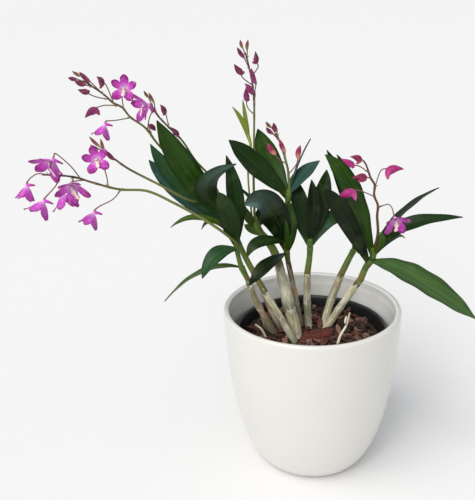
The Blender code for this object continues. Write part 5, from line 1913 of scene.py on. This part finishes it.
SPIKES = (
    Spike("spike_a", "shoot_a", (-1.0, -4.0, 0.0), ((-80, -23, 251), (-89, -27, 260), (-105, -28, 272),
          (-127, -32, 287), (-149, -34, 299), (-173, -36, 302), (-194, -38, 309), (-209, -40, 315),
          (-224, -42, 318), (-236, -43, 319)), (1.3, 1.3, 1.2, 1.1, 0.9, 0.7), (
        Stalk(0.64, ((-179, -39, 294), (-189, -43, 290)), "1"),
        Stalk(0.7, ((-182, -41, 316), (-184, -43, 326)), "2"),
        Stalk(0.76, ((-200, -40, 312),), "3"),
        Stalk(0.86, ((-214, -38, 310),), "4"),
        Stalk(0.92, ((-226, -42, 309),), "5"),
        Stalk(0.83, ((-211, -44, 326), (-222, -44, 337)), "6"),
        Stalk(0.97, ((-240, -43, 320), (-246, -44, 317)), "7"),
    )),
    Spike("spike_b_low", "shoot_b", (-1.8, -0.4, 0.0), ((-96, 12, 275), (-104, 9, 277), (-112, 3, 278),
          (-122, -5, 285), (-140, -14, 299), (-165, -18, 315), (-178, -20, 326), (-187, -23, 335)),
          (1.2, 1.2, 1.1, 1.0, 0.7), (
        Stalk(0.97, ((-189, -23, 338),), Bud((-197, -24, 347), 1.4, BudTone.OLIVE)),
        Stalk(0.93, ((-190, -21, 335),), Bud((-198, -20, 339), 1.2, BudTone.OLIVE)),
        Stalk(0.95, ((-185, -24, 335),), Bud((-187, -25, 345), 1.3, BudTone.OLIVE)),
        Stalk(0.84, ((-177, -24, 326),), Bud((-184, -26, 335), 1.9, BudTone.PLUM)),
    )),
    Spike("spike_b_mid", "shoot_b", (0.2, 1.8, 0.0), ((-114, 14, 300), (-140, 8, 330), (-151, 6, 347),
          (-164, 4, 358), (-170, 2, 367), (-178, 0, 372), (-183, -2, 378), (-195, -4, 388),
          (-201, -4, 392)), (1.3, 1.2, 1.1, 1.0, 0.8, 0.6), (
        Stalk(0.58, ((-147, 2, 356), (-142, -6, 366)), "9"),
        Stalk(0.69, ((-176, 2, 356), (-182, 0, 356)), "10"),
        Stalk(0.75, ((-169, 0, 376),), "8"),
        Stalk(0.98, ((-207, -4, 394),), Bud((-214, -4, 395), 1.7, BudTone.PLUM)),
        Stalk(0.96, ((-203, -1, 396),), Bud((-211, 1, 400), 1.4, BudTone.OLIVE)),
        Stalk(0.94, ((-199, -7, 389),), Bud((-208, -8, 393), 2.1, BudTone.PLUM)),
        Stalk(0.88, ((-195, -7, 392),), Bud((-203, -7, 400), 1.9, BudTone.PLUM)),
        Stalk(0.84, ((-191, -5, 378), (-199, -6, 382)), Bud((-206, -6, 385), 1.9, BudTone.PLUM,
              (-196, -6, 384))),
        Stalk(0.81, ((-181, -3, 386), (-184, -4, 391)), Bud((-189, -4, 395), 2.0, BudTone.PLUM,
              (-187, -4, 385))),
        Stalk(0.78, ((-185, -2, 370), (-194, -4, 368)), Bud((-203, -4, 360), 2.6, BudTone.MAUVE,
              (-190, -4, 362))),
        Stalk(0.55, ((-148, 5, 350),), Bud((-142, 4, 345), 2.2, BudTone.PLUM)),
    )),
    Spike("spike_b_high", "shoot_b", (1.8, -0.6, 0.0), ((-95, 23, 295), (-109, 25, 312), (-120, 24, 331),
          (-133, 22, 346), (-141, 20, 356), (-146, 18, 366)), (1.2, 1.1, 1.0, 0.9, 0.7), (
        Stalk(0.98, ((-148, 19, 373),), Bud((-152, 19, 379), 1.3, BudTone.OLIVE)),
        Stalk(0.93, ((-143, 15, 369),), Bud((-147, 14, 378), 1.4, BudTone.OLIVE)),
        Stalk(0.85, ((-142, 16, 360),), Bud((-149, 15, 369), 1.9, BudTone.PLUM)),
        Stalk(0.77, ((-133, 20, 355), (-134, 20, 360)), Bud((-138, 20, 366), 1.9, BudTone.PLUM,
              (-136, 20, 356))),
        Stalk(0.66, ((-124, 21, 338),), Bud((-130, 20, 345), 2.0, BudTone.PLUM, (-125, 20, 336))),
    )),
    Spike("spike_c", "shoot_c", (1.4, -1.4, 0.0), ((-54, 16, 293), (-53, 14, 325), (-52, 12, 358),
          (-52, 12, 369), (-53, 12, 382), (-55, 12, 394), (-57, 12, 403), (-59, 12, 410)),
          (1.3, 1.2, 1.1, 1.0, 0.9, 0.8, 0.6), (
        Stalk(0.98, ((-61, 11, 414),), Bud((-63, 10, 421), 1.3, BudTone.OLIVE)),
        Stalk(0.96, ((-57, 12, 412),), Bud((-56, 11, 421), 1.4, BudTone.OLIVE)),
        Stalk(0.9, ((-60, 9, 406),), Bud((-66, 7, 415), 1.7, BudTone.PLUM)),
        Stalk(0.86, ((-48, 9, 397), (-49, 7, 402)), Bud((-50, 7, 411), 1.9, BudTone.PLUM, (-53, 7, 402))),
        Stalk(0.81, ((-61, 8, 388), (-64, 7, 393)), Bud((-69, 6, 401), 2.1, BudTone.PLUM, (-60, 6, 394))),
        Stalk(0.74, ((-50, 8, 383),), Bud((-54, 6, 397), 1.9, BudTone.MAUVE)),
        Stalk(0.71, ((-51, 8, 375), (-54, 6, 377)), Bud((-60, 6, 384), 2.2, BudTone.MAUVE, (-55, 6, 374))),
        Stalk(0.64, ((-58, 11, 362), (-59, 10, 369)), Bud((-59, 10, 380), 2.1, BudTone.MAUVE,
              (-56, 10, 370))),
    )),
    Spike("spike_d", "shoot_d", (0.2, -0.9, 0.0), ((-23, -7, 306), (-25, -9, 315), (-27, -9, 323),
          (-29, -9, 328), (-31, -9, 335), (-34, -9, 341)), (1.2, 1.1, 1.0, 0.7), (
        Stalk(0.97, ((-38, -9, 347),), Bud((-43, -9, 352), 1.4, BudTone.OLIVE)),
        Stalk(0.88, ((-37, -13, 342),), Bud((-43, -14, 348), 1.7, BudTone.PLUM)),
        Stalk(0.93, ((-33, -9, 343),), Bud((-36, -9, 351), 1.9, BudTone.PLUM)),
        Stalk(0.6, ((-26, -12, 325),), Bud((-31, -14, 337), 2.0, BudTone.PEACH)),
        Stalk(0.48, ((-32, -14, 319), (-35, -15, 324)), Bud((-42, -15, 334), 2.4, BudTone.PEACH)),
        Stalk(0.28, ((-16, -9, 312), (-14, -9, 318)), Bud((-12, -9, 330), 2.3, BudTone.PEACH)),
    )),
    Spike("spike_g", "shoot_g", (0.9, -1.6, 0.0), ((62, -5, 243), (60, -8, 260), (60, -9, 271),
          (56, -10, 281), (56, -10, 291), (52, -10, 298), (48, -10, 309), (45, -11, 314)),
          (1.2, 1.3, 1.1, 1.0, 0.7), (
        Stalk(0.47, ((68, -13, 273), (71, -18, 271)), "11"),
        Stalk(0.99, ((42, -13, 317),), Bud((32, -14, 319), 2.2, BudTone.WINE, (38, -14, 312))),
        Stalk(0.86, ((42, -12, 309), (35, -12, 311)), Bud((24, -12, 317), 2.3, BudTone.PINK,
              (34, -12, 308))),
        Stalk(0.8, ((47, -14, 300),), Bud((34, -16, 300), 2.8, BudTone.WINE, (40, -16, 296))),
        Stalk(0.6, ((43, -15, 287), (33, -19, 290)), Bud((20, -20, 280), 3.0, BudTone.PINK,
              (37, -20, 280))),
        Stalk(0.69, ((61, -10, 304), (68, -10, 306)), Bud((82, -10, 305), 2.9, BudTone.PINK,
              (68, -10, 296))),
    ), low_colour=screen(104, 78, 48), high_colour=screen(88, 44, 46)),
)


# Studio


@dataclass
class Studio:
    """Pale floor, soft light and the camera."""

    floor_reach: float = 200.0
    sensor: float = 36.0
    lens: float = 36.0 * 666.0 / 500.0
    place: Point = (-0.0716, -0.601, 0.4523)
    tilt: float = 20.44
    roll: float = -1.96
    sky: Colour = (0.93, 0.965, 1.0)
    sky_strength: float = 0.54
    backdrop: Colour = (0.905, 0.905, 0.905)
    suns: tuple[tuple[str, float, float, Point, Colour], ...] = (
        ("key", 1.5, 40.0, (33.0, 0.0, -50.0), (1.0, 0.985, 0.955)),
        ("fill", 1.3, 36.0, (56.0, 0.0, -22.0), (1.0, 0.99, 0.97)),
    )

    def floor(self) -> None:
        """Makes the floor."""
        reach = self.floor_reach
        mesh = bpy.data.meshes.new("studio_floor")
        corners = [(-reach, -reach, 0.0), (reach, -reach, 0.0), (reach, reach, 0.0), (-reach, reach, 0.0)]
        mesh.from_pydata(corners, [], [(0, 1, 2, 3)])
        mesh.update()
        ground = in_scene("studio_floor", mesh)
        ground.data.materials.append(FLOOR_COAT.material())

    def lights(self) -> None:
        """A soft key from the upper left, a low fill and a pale sky that the camera sees brighter."""
        for name, strength, spread_angle, turns, colour in self.suns:
            light = bpy.data.lights.new(name, 'SUN')
            light.energy = strength
            light.angle = math.radians(spread_angle)
            light.color = colour
            lamp = in_scene(name, light)
            lamp.rotation_euler = [math.radians(turn) for turn in turns]
        world = bpy.data.worlds.new("studio_sky")
        world.use_nodes = True
        graph = Graph(world.node_tree)
        sky = world.node_tree.nodes["Background"]
        graph.feed(sky.inputs["Color"], self.sky)
        graph.feed(sky.inputs["Strength"], self.sky_strength)
        seen = graph.node("Background", {"Color": self.backdrop})
        by_camera = graph.node("LightPath").outputs["Is Camera Ray"]
        mix = graph.node("MixShader", {0: by_camera, 1: sky.outputs[0], 2: seen.outputs[0]})
        graph.feed(world.node_tree.nodes["World Output"].inputs["Surface"], mix.outputs[0])
        bpy.context.scene.world = world
        bpy.context.scene.view_settings.view_transform = 'Standard'

    def camera(self) -> None:
        """Sets the camera at the photograph's viewing angle."""
        lens = bpy.data.cameras.new("camera")
        lens.sensor_width = self.sensor
        lens.lens = self.lens
        lens.clip_start = 0.01
        lens.clip_end = 1000.0
        viewer = in_scene("camera", lens)
        viewer.matrix_world = (
            Matrix.Translation(Vector(self.place))
            @ turned(90.0 - self.tilt, 'X', 4)
            @ turned(self.roll, 'Z', 4)
        )
        bpy.context.scene.camera = viewer

    def build(self) -> None:
        """Makes the floor, the lights and the camera."""
        self.floor()
        self.lights()
        self.camera()


def write_sizes() -> None:
    """Brings the scene's placements up to date."""
    bpy.context.view_layer.update()


def main() -> None:
    """Builds every sub-assembly in order and reports each piece."""
    logging.basicConfig(level=logging.INFO, format="%(message)s", force=True)
    Studio().build()
    Cachepot().build()
    inner_pot = NurseryPot()
    inner_pot.build()
    canes = {cane.name: cane for cane in CANES}
    BarkBed(inner_pot, [stem.hole() for stem in CANES + ROOTS]).build()
    for stem in CANES + ROOTS:
        stem.build()
    paths = {}
    for shoot in SHOOTS:
        shoot.build(canes)
        paths[shoot.name] = shoot.path(canes)
    YoungShoot().build(paths["shoot_c"])
    for spike in SPIKES:
        spike.build(paths[spike.shoot])
    for bloom in BLOOMS.values():
        bloom.build()
    write_sizes()


if __name__ == "__main__":
    main()
